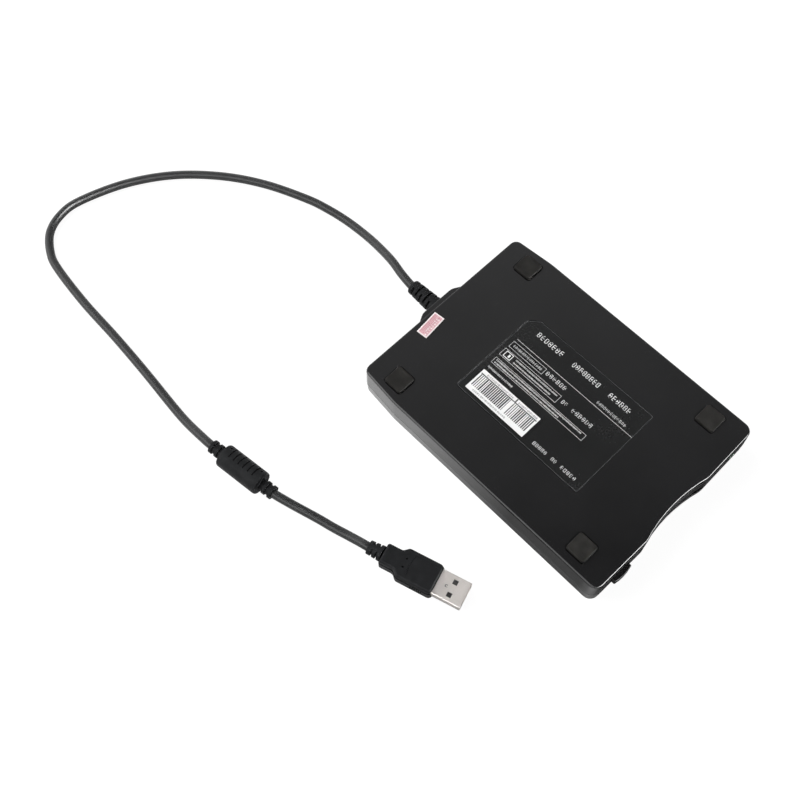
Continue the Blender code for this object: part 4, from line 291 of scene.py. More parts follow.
def board_mask(name):
    """Solder mask over copper: darker ground, slightly raised tracks."""
    made, tree, shader = finish(name, (0.03, 0.16, 0.08), 0.38)
    tracks = node(tree, "ShaderNodeTexBrick")
    tracks.offset = 0.5
    tracks.inputs["Scale"].default_value = BOARD_TRACKS
    tracks.inputs["Mortar Size"].default_value = 0.09
    tracks.inputs["Brick Width"].default_value = 1.4
    tree.links.new(surface_points(tree), tracks.inputs["Vector"])
    tree.links.new(shades(tree, tracks.outputs["Fac"], (0.018, 0.115, 0.055),
                          (0.045, 0.20, 0.10)), shader.inputs["Base Color"])
    tree.links.new(ranged(tree, grain(tree, 500.0), 0.30, 0.46), shader.inputs["Roughness"])
    relief(tree, shader, tracks.outputs["Fac"], 0.00003)
    return made


# Plastics: dark and light colour, smooth and dull roughness, grain size and depth in metres,
# specular level. Rubbers and metals: dark and light colour, roughness, then their own pattern.
SHELL_PLASTIC = worn_plastic("shell_plastic", (0.0030, 0.0030, 0.0033), (0.0042, 0.0042, 0.0046),
                             0.16, 0.19, 0.00035, 0.000003, 0.55)
PANEL_PLASTIC = worn_plastic("panel_plastic", (0.0024, 0.0024, 0.0026), (0.0034, 0.0034, 0.0037),
                             0.26, 0.30, 0.0006, 0.000003, 0.20)
FOOT_RUBBER = soft_rubber("foot_rubber", (0.0086, 0.0083, 0.0077), (0.0210, 0.0202, 0.0188),
                          0.50, 0.00030, 0.00003, 0.10)
JACKET = soft_rubber("cable_jacket", (0.0160, 0.0163, 0.0167), (0.0214, 0.0218, 0.0224),
                     0.34, 0.0005, 0.000006, 0.32)
MOULDED_RUBBER = soft_rubber("moulded_rubber", (0.0104, 0.0108, 0.0114), (0.0152, 0.0157, 0.0166),
                             0.38, 0.00028, 0.000008, 0.07)
BEAD_RUBBER = soft_rubber("bead_rubber", (0.0112, 0.0116, 0.0122), (0.0166, 0.0171, 0.0179),
                          0.44, 0.00028, 0.000008, 0.05)
# Painted shade: a near-black matte finish for faces in grooves, holes, dimples and grip ribs,
# darker than the rubber round them
RECESS_SHADE = soft_rubber("painted_recess_shade", (0.0010, 0.0010, 0.0011), (0.0016, 0.0016, 0.0017),
                            0.80, 0.00028, 0.000008, 0.04)
LABEL_FILM = worn_plastic("label_film", (0.0030, 0.0032, 0.0033), (0.0038, 0.0040, 0.0041),
                          0.22, 0.28, 0.0008, 0.000002, 0.45, wear=0.3)
# Painted highlight: a paler band round the label's printed face, standing in for light caught by
# its edge
RIM_HIGHLIGHT = worn_plastic("painted_rim_highlight", (0.018, 0.019, 0.020), (0.026, 0.027, 0.028),
                        0.40, 0.50, 0.0008, 0.000003, 0.45)
WHITE_INK = printed("white_ink", (0.84, 0.85, 0.85), 0.5)
STICKER_PAPER = printed("sticker_paper", (0.84, 0.84, 0.84), 0.55, 0.04)
STICKER_INK = printed("sticker_ink", (0.020, 0.020, 0.022), 0.5)
SEAL_PAPER = printed("seal_paper", (0.83, 0.76, 0.76), 0.55, 0.04)
SEAL_GROUND = printed("seal_ground", (0.70, 0.44, 0.47), 0.5, 0.15)
SEAL_INK = printed("seal_ink", (0.42, 0.17, 0.21), 0.5, 0.15)
NICKEL = drawn_metal("satin_nickel", (0.77, 0.725, 0.69), (0.82, 0.775, 0.74), 0.32, PLUG_TURN,
                     spread=0.03, metallic=0.85)
ZINC_SHEET = drawn_metal("zinc_sheet", (0.46, 0.47, 0.48), (0.66, 0.66, 0.66), 0.36,
                         QUARTER_TURN, 0.3)
GROUND_STEEL = drawn_metal("ground_steel", (0.55, 0.55, 0.55), (0.72, 0.72, 0.72), 0.22,
                           QUARTER_TURN)
LAMINATIONS = drawn_metal("laminations", (0.10, 0.10, 0.11), (0.20, 0.20, 0.21), 0.5, 0.0, 1.0)
TURNED_BRASS = drawn_metal("turned_brass", (0.60, 0.46, 0.22), (0.78, 0.62, 0.34), 0.30,
                           QUARTER_TURN)
COPPER_WIRE = drawn_metal("copper_wire", (0.55, 0.22, 0.10), (0.75, 0.36, 0.18), 0.35, 0.0)
GREY_MOULDING = worn_plastic("grey_moulding", (0.22, 0.22, 0.22), (0.30, 0.30, 0.30),
                             0.42, 0.55, 0.0004, 0.000012)
WHITE_MOULDING = worn_plastic("white_moulding", (0.34, 0.34, 0.33), (0.36, 0.36, 0.35),
                              0.38, 0.50, 0.0004, 0.000010)
BOARD_MASK = board_mask("board_mask")
CHIP_RESIN = soft_rubber("chip_resin", (0.020, 0.020, 0.022), (0.034, 0.034, 0.036),
                         0.60, 0.00015, 0.00001)
TONGUE_MOULDING = worn_plastic("tongue_moulding", (0.10, 0.10, 0.10), (0.13, 0.13, 0.13),
                               0.38, 0.50, 0.0004, 0.000010)
LIGHT_MOULDING = clear_moulding("light_moulding")
AMBER_FILM = amber_polyimide("amber_film")

FINISH_OF = {
    "bottom_cover": SHELL_PLASTIC, "top_cover": SHELL_PLASTIC, "eject_button": PANEL_PLASTIC,
    "front_bezel": PANEL_PLASTIC, "slot_flap": PANEL_PLASTIC, "light_pipe": LIGHT_MOULDING,
    "rating_label": LABEL_FILM, "white_sticker": STICKER_PAPER, "seal_sticker": SEAL_PAPER,
    "chassis": ZINC_SHEET, "mech_cover": ZINC_SHEET, "eject_plate": ZINC_SHEET,
    "disk_cage": ZINC_SHEET, "latch_lever": WHITE_MOULDING, "latch_pin": GROUND_STEEL,
    "stator": LAMINATIONS, "motor_board": BOARD_MASK, "rotor": ZINC_SHEET,
    "spindle_hub": GROUND_STEEL, "spindle_bearing": TURNED_BRASS,
    "guide_rod_left": GROUND_STEEL, "guide_rod_right": GROUND_STEEL,
    "head_carriage": GREY_MOULDING, "head_arm": WHITE_MOULDING, "arm_pin": GROUND_STEEL,
    "stepper_motor": ZINC_SHEET, "lead_screw": TURNED_BRASS, "screw_bracket": WHITE_MOULDING,
    "drive_board": BOARD_MASK, "usb_board": BOARD_MASK, "flat_cable": AMBER_FILM,
    "cable_gland": BEAD_RUBBER, "ferrite_bead": BEAD_RUBBER,
    "plug_relief": MOULDED_RUBBER, "plug_body": MOULDED_RUBBER,
    "plug_shell": NICKEL, "plug_tongue": TONGUE_MOULDING,
}
FEET = ["foot_" + side for side in ("front_left", "front_right", "rear_left", "rear_right")]
FINISH_OF.update({"case_screw_%d" % i: GROUND_STEEL for i in range(1, 5)})
FINISH_OF.update({name: FOOT_RUBBER for name in FEET})
BODY_OF = {name: body for body, names in frame["record"]["behaviour"]["bodies"].items()
           for name in names}

for name, look in FINISH_OF.items():
    solid = SOLIDS[name]
    solid.data.materials.clear()
    solid.data.materials.append(look)


def added(made, body, look=None):
    """Link a finished piece and let it ride on its body."""
    if made.name not in SCENE.collection.objects:
        SCENE.collection.objects.link(made)
    if look is not None:
        made.data.materials.clear()
        made.data.materials.append(look)
    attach(made, body)


MERGE_WITHIN = 0.002 * MM
FLAT_WITHIN = math.radians(0.4)
CREASE = math.radians(32.0)


def eased(name, ease=0.0, segments=2):
    """A CAD piece with its corners merged, its flats joined and its edges eased by millimetres."""
    form = bmesh.new()
    form.from_mesh(SOLIDS[name].data)
    bmesh.ops.remove_doubles(form, verts=form.verts, dist=MERGE_WITHIN)
    bmesh.ops.dissolve_limit(form, angle_limit=FLAT_WITHIN, verts=form.verts, edges=form.edges)
    mesh = bpy.data.meshes.new(name + "_finished")
    form.to_mesh(mesh)
    form.free()
    mesh.shade_smooth()
    mesh.set_sharp_from_angle(angle=CREASE)
    made = bpy.data.objects.new(name + "_finished", mesh)
    if ease > 0.0:
        bevel = made.modifiers.new("eased_edges", "BEVEL")
        bevel.limit_method = "ANGLE"
        bevel.angle_limit = CREASE
        bevel.width = ease * MM
        bevel.segments = segments
    flats = made.modifiers.new("flat_faces", "WEIGHTED_NORMAL")
    flats.keep_sharp = True
    added(made, BODY_OF[name], FINISH_OF[name])
    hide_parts(name)
    return made


def second_finish(made, look, chosen):
    """Give the chosen faces of a piece a finish of their own."""
    made.data.materials.append(look)
    for face in made.data.polygons:
        if chosen(face):
            face.material_index = len(made.data.materials) - 1


# Cables

def curve_through(points):
    """Fine points of a smooth curve through the points, about CABLE_STEP apart."""
    padded = [2 * points[0] - points[1]] + points + [2 * points[-1] - points[-2]]
    fine = []
    for i in range(1, len(padded) - 2):
        a, b, c, d = padded[i - 1:i + 3]
        steps = max(2, round((c - b).length / (CABLE_STEP * MM)))
        for k in range(steps):
            t = k / steps
            fine.append((2 * b + (c - a) * t + (2 * a - 5 * b + 4 * c - d) * t ** 2
                         + (3 * b - a - 3 * c + d) * t ** 3) / 2)
    return fine + [points[-1]]


def cable(name, route):
    """A round cable along the route, with where it starts and how long it is."""
    line = curve_through([Vector(p) * MM for p in route])
    data = bpy.data.curves.new(name, "CURVE")
    data.dimensions = "3D"
    data.bevel_depth = CABLE_RADIUS * MM
    data.bevel_resolution = 6
    data.use_fill_caps = True
    spline = data.splines.new("POLY")
    spline.points.add(len(line) - 1)
    for point, place in zip(spline.points, line):
        point.co = (*place, 1.0)
    spline.use_smooth = True
    made = bpy.data.objects.new(name, data)
    added(made, "case", JACKET)
    length = sum((b - a).length for a, b in zip(line, line[1:]))
    return made, line[0], length


main_cable, main_exit, main_length = cable("main_cable", MAIN_CABLE)
tail_cable, tail_exit, tail_length = cable("tail_cable", TAIL_CABLE)
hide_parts("cord_main")
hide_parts("cord_tail")

gland = eased("cable_gland", 0.12)
bead = eased("ferrite_bead", 0.15)
plug_relief = eased("plug_relief", 0.10)
plug_body = eased("plug_body")


def off_axis(point, start, turn):
    """How far along an axis a point lies, and how far away from it, in millimetres."""
    way = Vector((math.cos(turn), math.sin(turn), 0.0))
    arm = point / MM - Vector(start)
    along = arm.dot(way)
    return along, (arm - along * way).length


# Where the recesses lie along and away from the middle lines, in millimetres
BEAD_GROOVES = (8.0, 28.2)
BEAD_SKIN = 5.52
DIMPLE_REACH = 3.2
DIMPLE_HEIGHTS = (7.9, 8.55)
GRIP_ALONG, GRIP_AWAY, GRIP_HEIGHTS = (23.4, 29.3), (6.6, 7.15), (2.2, 5.4)
# How long a bend of the plug's shell is at least, and how near counts as level, in millimetres
LONG_BEND = 4.0
NEARLY = 0.1


def between(value, limits):
    return limits[0] < value < limits[1]


def in_bead_recess(face):
    """Whether a face of the bead lies in a groove or a small hole."""
    along, away = off_axis(face.center, BEAD_START, BEAD_TURN)
    return between(along, BEAD_GROOVES) and away < BEAD_SKIN


def in_plug_recess(face):
    """Whether a face of the plug lies in a dimple or in the ribs of a side grip."""
    level = Vector((*face.center.xy, PLUG_START[2] * MM))
    along, away = off_axis(level, PLUG_START, PLUG_TURN)
    height = face.center.z / MM
    dimple = away < DIMPLE_REACH and between(height, DIMPLE_HEIGHTS)
    return dimple or (between(along, GRIP_ALONG) and between(away, GRIP_AWAY)
                      and between(height, GRIP_HEIGHTS))


def long_bends(made):
    """Round only the four outer bends of the plug's shell, and lay its mouth out in quads."""
    way = Vector((math.cos(PLUG_TURN), math.sin(PLUG_TURN), 0.0))
    beside = Vector((-way.y, way.x, 0.0))
    form = bmesh.new()
    form.from_mesh(made.data)
    tip = max(corner.co.dot(way) for corner in form.verts) - NEARLY * MM
    mouth = [f for f in form.faces if min(v.co.dot(way) for v in f.verts) > tip]
    middle = Vector(PLUG_START) * MM
    rim = sorted({v for f in mouth for v in f.verts}, key=lambda v: (v.co - middle).length)
    bmesh.ops.delete(form, geom=mouth, context="FACES_ONLY")

    def turn_of(corner):
        arm = corner.co - middle
        return math.atan2(arm.z, arm.dot(beside))

    inner, outer = sorted(rim[:4], key=turn_of), sorted(rim[4:], key=turn_of)
    for i in range(4):
        k = (i + 1) % 4
        form.faces.new((outer[i], outer[k], inner[k], inner[i]))
    marks = form.edges.layers.float.new("bevel_weight_edge")
    far = off_axis(outer[0].co, PLUG_START, PLUG_TURN)[1]
    for edge in form.edges:
        (begin, away), (end, away_too) = (off_axis(v.co, PLUG_START, PLUG_TURN)
                                          for v in edge.verts)
        if abs(begin - end) > LONG_BEND and min(away, away_too) > far - NEARLY:
            edge[marks] = 1.0
    form.to_mesh(made.data)
    form.free()
    made.modifiers["eased_edges"].limit_method = "WEIGHT"


# Painted shade in the bead's grooves and holes and in the plug's dimples and grip ribs
second_finish(bead, RECESS_SHADE, in_bead_recess)
second_finish(plug_body, RECESS_SHADE, in_plug_recess)
plug_shell = eased("plug_shell", 0.40, segments=3)
long_bends(plug_shell)
plug_tongue = eased("plug_tongue", 0.08)

# Shells, front and feet
for name, ease in (("bottom_cover", 0.12), ("top_cover", 0.12), ("front_bezel", 0.10),
                   ("eject_button", 0.0), ("slot_flap", 0.0)):
    eased(name, ease)
for name in FEET:
    eased(name, 0.15)


RIM_WIDTH = 0.30


def film_label():
    """The label with a painted highlight round its printed face: a paler rim band."""
    made = eased("rating_label")
    form = bmesh.new()
    form.from_mesh(made.data)
    face = max(form.faces, key=lambda f: f.calc_area() * (f.normal.z > 0.9))
    rim = bmesh.ops.inset_region(form, faces=[face], thickness=RIM_WIDTH * MM,
                                 use_even_offset=True)
    for ring in rim["faces"]:
        ring.material_index = 1
    made.data.materials.append(RIM_HIGHLIGHT)
    form.to_mesh(made.data)
    form.free()


film_label()

# Inner pieces
for name in ("chassis", "mech_cover", "eject_plate", "disk_cage", "latch_lever", "head_arm",
             "head_carriage", "rotor", "spindle_hub", "spindle_bearing", "stepper_motor",
             "screw_bracket", "motor_board", "stator"):
    eased(name, 0.06)
CHIP_DEPTH = 0.65
for name in ("drive_board", "usb_board"):
    board = eased(name, 0.05)
    low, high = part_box(name)
    chips_below = high.z - CHIP_DEPTH * MM
    second_finish(board, CHIP_RESIN, lambda face: face.center.z < chips_below)


# Print and small repeated marks

def begun_tree(name, sockets):
    """A new tree, its named inputs and the call that joins its nodes."""
    tree = bpy.data.node_groups.new(name, "GeometryNodeTree")
    for label, kind in sockets.items():
        tree.interface.new_socket(name=label, in_out="INPUT", socket_type="NodeSocket" + kind)
    tree.interface.new_socket(name="Finish", in_out="INPUT", socket_type="NodeSocketMaterial")
    tree.interface.new_socket(name="Geometry", in_out="OUTPUT",
                              socket_type="NodeSocketGeometry")
    return tree, node(tree, "NodeGroupInput").outputs, tree.links.new


def end_tree(tree, given, shape):
    """Make the copies real, give them their finish and let them out."""
    real = node(tree, "GeometryNodeRealizeInstances")
    ink = node(tree, "GeometryNodeSetMaterial")
    out = node(tree, "NodeGroupOutput")
    join = tree.links.new
    join(shape, real.inputs["Geometry"])
    join(real.outputs["Geometry"], ink.inputs["Geometry"])
    join(given["Finish"], ink.inputs["Material"])
    join(ink.outputs["Geometry"], out.inputs["Geometry"])


def row_tree():
    """Blocks set out in a row, each with its own random size."""
    tree, given, join = begun_tree("row_of_blocks", {
        "Count": "Int", "Start": "Vector", "Step": "Vector", "Size": "Vector",
        "Least": "Vector", "Most": "Vector", "Seed": "Int"})
    line = node(tree, "GeometryNodeMeshLine", mode="OFFSET")
    block = node(tree, "GeometryNodeMeshCube")
    spread = node(tree, "FunctionNodeRandomValue", data_type="FLOAT_VECTOR")
    copies = node(tree, "GeometryNodeInstanceOnPoints")
    join(given["Count"], line.inputs["Count"])
    join(given["Start"], line.inputs["Start Location"])
    join(given["Step"], line.inputs["Offset"])
    join(given["Size"], block.inputs["Size"])
    join(given["Least"], spread.inputs[0])
    join(given["Most"], spread.inputs[1])
    join(given["Seed"], spread.inputs["Seed"])
    join(line.outputs["Mesh"], copies.inputs["Points"])
    join(block.outputs["Mesh"], copies.inputs["Instance"])
    join(spread.outputs[0], copies.inputs["Scale"])
    end_tree(tree, given, copies.outputs["Instances"])
    return tree


ROW_TREE = row_tree()


def grown(name, tree, values):
    """The plain mesh that a tree makes from its named values, which it gets before it runs."""
    holder = bpy.data.objects.new(name + "_holder", bpy.data.meshes.new(name + "_holder"))
    SCENE.collection.objects.link(holder)
    step = holder.modifiers.new("grown", "NODES")
    step.node_group = tree
    for item in tree.interface.items_tree:
        if item.in_out == "INPUT" and item.name in values:
            step[item.identifier] = values[item.name]
    graph = bpy.context.evaluated_depsgraph_get()
    mesh = bpy.data.meshes.new_from_object(holder.evaluated_get(graph))
    mesh.name = name
    holder.modifiers.clear()
    bpy.data.objects.remove(holder, do_unlink=True)
    return mesh


def joined(name, meshes, place=Matrix.Identity(4)):
    """One object from several meshes, with their finishes kept."""
    form = bmesh.new()
    looks = []
    for mesh in meshes:
        start = len(form.faces)
        form.from_mesh(mesh)
        form.faces.ensure_lookup_table()
        for face in form.faces[start:]:
            look = mesh.materials[face.material_index]
            if look not in looks:
                looks.append(look)
            face.material_index = looks.index(look)
    form.transform(place)
    mesh = bpy.data.meshes.new(name)
    form.to_mesh(mesh)
    form.free()
    for look in looks:
        mesh.materials.append(look)
    return bpy.data.objects.new(name, mesh)


# Print, in millimetres
INK_THICKNESS = 0.02
THIN_LINE = 0.13
BAR_PITCH = 0.93
WHOLE = Vector((1.0, 1.0, 1.0))


def print_row(name, x, start, end, height, pitch, seed, look, z):
    """A row of generic marks along -Y: two uprights and three bars each, of uneven length."""
    stroke = max(THIN_LINE, height / 10)
    count = max(1, round((start - end) / pitch))
    pitch = (start - end) / count
    arm = 0.27 * pitch
    made = []
    for part, at, shift, size, least in (
            ("upright", x, arm, (height, stroke), (0.45, 0.9)),
            ("other_upright", x, -arm, (height, stroke), (0.1, 0.9)),
            ("head", x + 0.42 * height, 0.0, (stroke, 2 * arm), (1.0, 0.1)),
            ("waist", x, 0.0, (stroke, 2 * arm), (1.0, 0.0)),
            ("foot", x - 0.42 * height, 0.0, (stroke, 2 * arm), (1.0, 0.1))):
        made.append(grown(name + "_" + part, ROW_TREE, {
            "Count": count, "Start": Vector((at, start - pitch / 2 + shift, z)) * MM,
            "Step": Vector((0.0, -pitch, 0.0)) * MM,
            "Size": Vector((*size, INK_THICKNESS)) * MM,
            "Least": Vector((*least, 1.0)), "Most": WHOLE,
            "Seed": seed + len(made), "Finish": look}))
    return made


def plate(name, x0, x1, y0, y1, z, look, thick=INK_THICKNESS):
    """One flat block of print."""
    return grown(name, ROW_TREE, {
        "Count": 1, "Start": Vector(((x0 + x1) / 2, (y0 + y1) / 2, z)) * MM,
        "Step": Vector((0.0, 0.0, 0.0)), "Size": Vector((x1 - x0, y1 - y0, thick)) * MM,
        "Least": WHOLE, "Most": WHOLE, "Seed": 0, "Finish": look})


def frame_lines(name, x0, x1, y0, y1, z, line):
    """Four white lines round a field."""
    half = line / 2
    return [plate(name, a, b, c, d, z, WHITE_INK) for a, b, c, d in (
        (x0 - half, x1 + half, y0 - half, y0 + half), (x0 - half, x1 + half, y1 - half, y1 + half),
        (x0 - half, x0 + half, y0 + half, y1 - half), (x1 - half, x1 + half, y0 + half, y1 - half))]


def label_print():
    """Generic white print on the label: a rule, three framed fields and rows of marks."""
    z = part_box("rating_label")[1].z / MM + INK_THICKNESS / 2
    made = [plate("rule", 10.72, 10.87, -35.2, 32.9, z, WHITE_INK)]
    for x0, x1, y0, y1 in ((5.4, 9.0, 13.2, 33.1), (-0.6, 3.8, -0.5, 33.4),
                           (-6.0, -2.6, -20.8, 33.3)):
        made += frame_lines("field", x0, x1, y0, y1, z, THIN_LINE)
    rows = ((19.5, 28.4, 12.6, 2.8, 2.15), (19.5, 6.9, -9.2, 2.8, 2.05),
            (19.5, -14.5, -27.2, 2.8, 2.30), (13.0, -13.2, -30.0, 1.5, 1.30),
            (7.2, 31.8, 14.6, 1.3, 1.05), (7.7, 12.3, 0.2, 2.2, 1.95),
            (2.5, 26.0, 0.8, 0.8, 0.60), (0.7, 26.0, 3.6, 0.8, 0.60),
            (2.2, -2.0, -5.4, 2.0, 1.70), (2.2, -8.0, -19.9, 2.2, 1.90),
            (-3.5, 32.2, -18.6, 0.8, 0.60), (-5.0, 32.2, -6.4, 0.8, 0.60),
            (-8.5, 32.8, 17.8, 1.0, 0.80), (-21.4, -6.6, -14.6, 1.8, 1.60),
            (-21.4, -17.2, -20.4, 1.8, 1.60), (-21.4, -22.6, -31.4, 1.8, 1.60))
    for i, (x, start, end, height, pitch) in enumerate(rows):
        made += print_row("print_row", x, start, end, height, pitch, 7 * i + 3, WHITE_INK, z)
    made += frame_lines("disk_mark", 0.2, 3.2, 28.0, 31.8, z, 0.35)
    made.append(plate("disk_mark_window", 0.9, 2.5, 28.9, 29.9, z, WHITE_INK))
    added(joined("label_print", made), "case")


def sticker_print():
    """Generic bars, a header strip and rows of small marks on the white sticker."""
    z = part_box("white_sticker")[1].z / MM + INK_THICKNESS / 2
    made = []
    for name, start, end, seed in (("first_bars", 31.4, 12.8, 5), ("second_bars", 11.4, -1.2, 9)):
        count = int((start - end) / BAR_PITCH)
        made.append(grown(name, ROW_TREE, {
            "Count": count, "Start": Vector((-17.2, start, z)) * MM,
            "Step": Vector((0.0, -(start - end) / count, 0.0)) * MM,
            "Size": Vector((7.0, 0.5, INK_THICKNESS)) * MM,
            "Least": Vector((1.0, 0.5, 1.0)), "Most": Vector((1.0, 1.45, 1.0)),
            "Seed": seed, "Finish": STICKER_INK}))
    made.append(plate("header_line", -13.6, -13.1, -1.2, 32.2, z, STICKER_INK))
    made.append(plate("header_tick", -13.3, -11.2, 11.4, 12.0, z, STICKER_INK))
    for row, start, end in ((21, 29.6, 13.4), (22, 10.4, -0.6)):
        made += print_row("header_print", -12.3, start, end, 1.0, 0.85, row, STICKER_INK, z)
    made += print_row("small_print", -22.1, 29.4, 9.6, 0.9, 0.95, 23, STICKER_INK, z)
    added(joined("sticker_print", made), "case")


SEAL_TURN = math.radians(95.7)
SEAL_LIFT = 0.015


def seal_print():
    """A pink ground inside a white border, with rows of small print and pale patches."""
    low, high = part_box("seal_sticker")
    made = [plate("seal_ground", -2.25, 2.25, -5.95, 5.95, 0.0, SEAL_GROUND, 0.01)]
    for i, (x, start, end) in enumerate(((1.75, 5.6, -5.6), (0.95, 5.2, -5.4), (0.15, 5.6, -4.2),
                                         (-0.65, 4.6, -5.6))):
        made += print_row("seal_row", x, start, end, 0.62, 0.62, 5 * i + 40, SEAL_INK, 0.002)
    for i, (x, start, end) in enumerate(((-0.4, 3.6, -5.2), (-1.35, 5.4, -5.6))):
        count = 7 + i
        made.append(grown("seal_patches", ROW_TREE, {
            "Count": count, "Start": Vector((x, start, 0.004)) * MM,
            "Step": Vector((0.0, -(start - end) / count, 0.0)) * MM,
            "Size": Vector((1.1, 1.1, INK_THICKNESS / 2)) * MM,
            "Least": Vector((0.35, 0.3, 1.0)), "Most": WHOLE,
            "Seed": 61 + i, "Finish": SEAL_PAPER}))
    made += print_row("seal_marks", -1.4, 5.2, -5.4, 1.0, 1.3, 71, SEAL_INK, 0.006)
    middle = (low + high) / 2
    turned = (Matrix.Translation((middle.x, middle.y, high.z + SEAL_LIFT * MM))
              @ Matrix.Rotation(SEAL_TURN, 4, "Z"))
    added(joined("seal_print", made, turned), "case")


label_print()
sticker_print()
seal_print()


# Windings, thread and chip legs

def winding_tree():
    """Turns of wire round one pole arm, repeated round the stator."""
    tree, given, join = begun_tree("pole_windings", {
        "Poles": "Int", "Turns": "Int", "Width": "Float", "Height": "Float",
        "Wire": "Float", "Inner": "Float", "Outer": "Float"})
    loop = node(tree, "GeometryNodeCurvePrimitiveQuadrilateral", mode="RECTANGLE")
    soft = node(tree, "GeometryNodeFilletCurve", mode="POLY")
    soft.inputs["Count"].default_value = 2
    round_wire = node(tree, "GeometryNodeCurvePrimitiveCircle", mode="RADIUS")
    round_wire.inputs["Resolution"].default_value = 6
    turn = node(tree, "GeometryNodeCurveToMesh")
    upright = node(tree, "GeometryNodeTransform")
    upright.inputs["Rotation"].default_value = (0.0, QUARTER_TURN, 0.0)
    line = node(tree, "GeometryNodeMeshLine", mode="END_POINTS")
    coil = node(tree, "GeometryNodeInstanceOnPoints")
    ring = node(tree, "GeometryNodeMeshCircle")
    ring.inputs["Radius"].default_value = 0.000001
    index = node(tree, "GeometryNodeInputIndex")
    step = node(tree, "ShaderNodeMath", operation="DIVIDE")
    step.inputs[0].default_value = 2 * math.pi
    angle = node(tree, "ShaderNodeMath", operation="MULTIPLY")
    spin = node(tree, "ShaderNodeCombineXYZ")
    start = node(tree, "ShaderNodeCombineXYZ")
    end = node(tree, "ShaderNodeCombineXYZ")
    around = node(tree, "GeometryNodeInstanceOnPoints")
    join(given["Height"], loop.inputs["Width"])
    join(given["Width"], loop.inputs["Height"])
    join(loop.outputs["Curve"], soft.inputs["Curve"])
    join(given["Wire"], soft.inputs["Radius"])
    join(given["Wire"], round_wire.inputs["Radius"])
    join(soft.outputs["Curve"], turn.inputs["Curve"])
    join(round_wire.outputs["Curve"], turn.inputs["Profile Curve"])
    join(turn.outputs["Mesh"], upright.inputs["Geometry"])
    join(given["Inner"], start.inputs["X"])
    join(given["Outer"], end.inputs["X"])
    join(given["Turns"], line.inputs["Count"])
    join(start.outputs[0], line.inputs["Start Location"])
    join(end.outputs[0], line.inputs["Offset"])
    join(line.outputs["Mesh"], coil.inputs["Points"])
    join(upright.outputs["Geometry"], coil.inputs["Instance"])
    join(given["Poles"], ring.inputs["Vertices"])
    join(given["Poles"], step.inputs[1])
    join(index.outputs[0], angle.inputs[0])
    join(step.outputs[0], angle.inputs[1])
    join(angle.outputs[0], spin.inputs["Z"])
    join(ring.outputs["Mesh"], around.inputs["Points"])
    join(coil.outputs["Instances"], around.inputs["Instance"])
    join(spin.outputs[0], around.inputs["Rotation"])
    end_tree(tree, given, around.outputs["Instances"])
    return tree


def windings():
    """Copper coils on the stator's arms."""
    low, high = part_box("stator")
    middle = (low + high) / 2
    coils = grown("windings", winding_tree(), {
        "Poles": 12, "Turns": 22, "Width": 1.75 * MM, "Height": 1.40 * MM, "Wire": 0.14 * MM,
        "Inner": 10.6 * MM, "Outer": 17.6 * MM, "Finish": COPPER_WIRE})
    coils.shade_smooth()
    added(joined("stator_windings", [coils], Matrix.Translation(middle)), "case")


LEAD_PER_TURN = 3.75


def thread_tree():
    """Two left-handed ridges wound opposite each other."""
    tree, given, join = begun_tree("screw_thread", {
        "Turns": "Float", "Length": "Float", "Radius": "Float", "Ridge": "Float"})
    spiral = node(tree, "GeometryNodeCurveSpiral")
    spiral.inputs["Resolution"].default_value = 28
    spiral.inputs["Reverse"].default_value = False
    ridge = node(tree, "GeometryNodeCurvePrimitiveCircle", mode="RADIUS")
    ridge.inputs["Resolution"].default_value = 6
    wound = node(tree, "GeometryNodeCurveToMesh")
    wound.inputs["Fill Caps"].default_value = True
    other = node(tree, "GeometryNodeTransform")
    other.inputs["Rotation"].default_value = (0.0, 0.0, math.pi)
    both = node(tree, "GeometryNodeJoinGeometry")
    join(given["Turns"], spiral.inputs["Rotations"])
    join(given["Radius"], spiral.inputs["Start Radius"])
    join(given["Radius"], spiral.inputs["End Radius"])
    join(given["Length"], spiral.inputs["Height"])
    join(given["Ridge"], ridge.inputs["Radius"])
    join(spiral.outputs["Curve"], wound.inputs["Curve"])
    join(ridge.outputs["Curve"], wound.inputs["Profile Curve"])
    join(wound.outputs["Mesh"], other.inputs["Geometry"])
    join(wound.outputs["Mesh"], both.inputs["Geometry"])
    join(other.outputs["Geometry"], both.inputs["Geometry"])
    end_tree(tree, given, both.outputs["Geometry"])
    return tree


def thread():
    """The lead screw's ridges, which turn with the screw."""
    low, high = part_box("lead_screw")
    start, end = low.y / MM + 2.6, high.y / MM - 0.4
    ridges = grown("thread", thread_tree(), {
        "Turns": (end - start) / LEAD_PER_TURN, "Length": (end - start) * MM,
        "Radius": 0.96 * MM, "Ridge": 0.09 * MM, "Finish": TURNED_BRASS})
    ridges.shade_smooth()
    place = (Matrix.Translation(((low.x + high.x) / 2, start * MM, (low.z + high.z) / 2))
             @ Matrix.Rotation(-QUARTER_TURN, 4, "X"))
    eased("lead_screw", 0.06)
    added(joined("lead_screw_thread", [ridges], place), "screw")


LEG_PITCH = 0.65
PART_PITCH = 1.4


def block_row(name, start, pitch, count, size, look, least=WHOLE):
    """Blocks in a row along Y, in millimetres."""
    return grown(name, ROW_TREE, {
        "Count": count, "Start": Vector(start) * MM, "Step": Vector((0.0, pitch, 0.0)) * MM,
        "Size": Vector(size) * MM, "Least": Vector(least), "Most": WHOLE,
        "Seed": 3, "Finish": look})


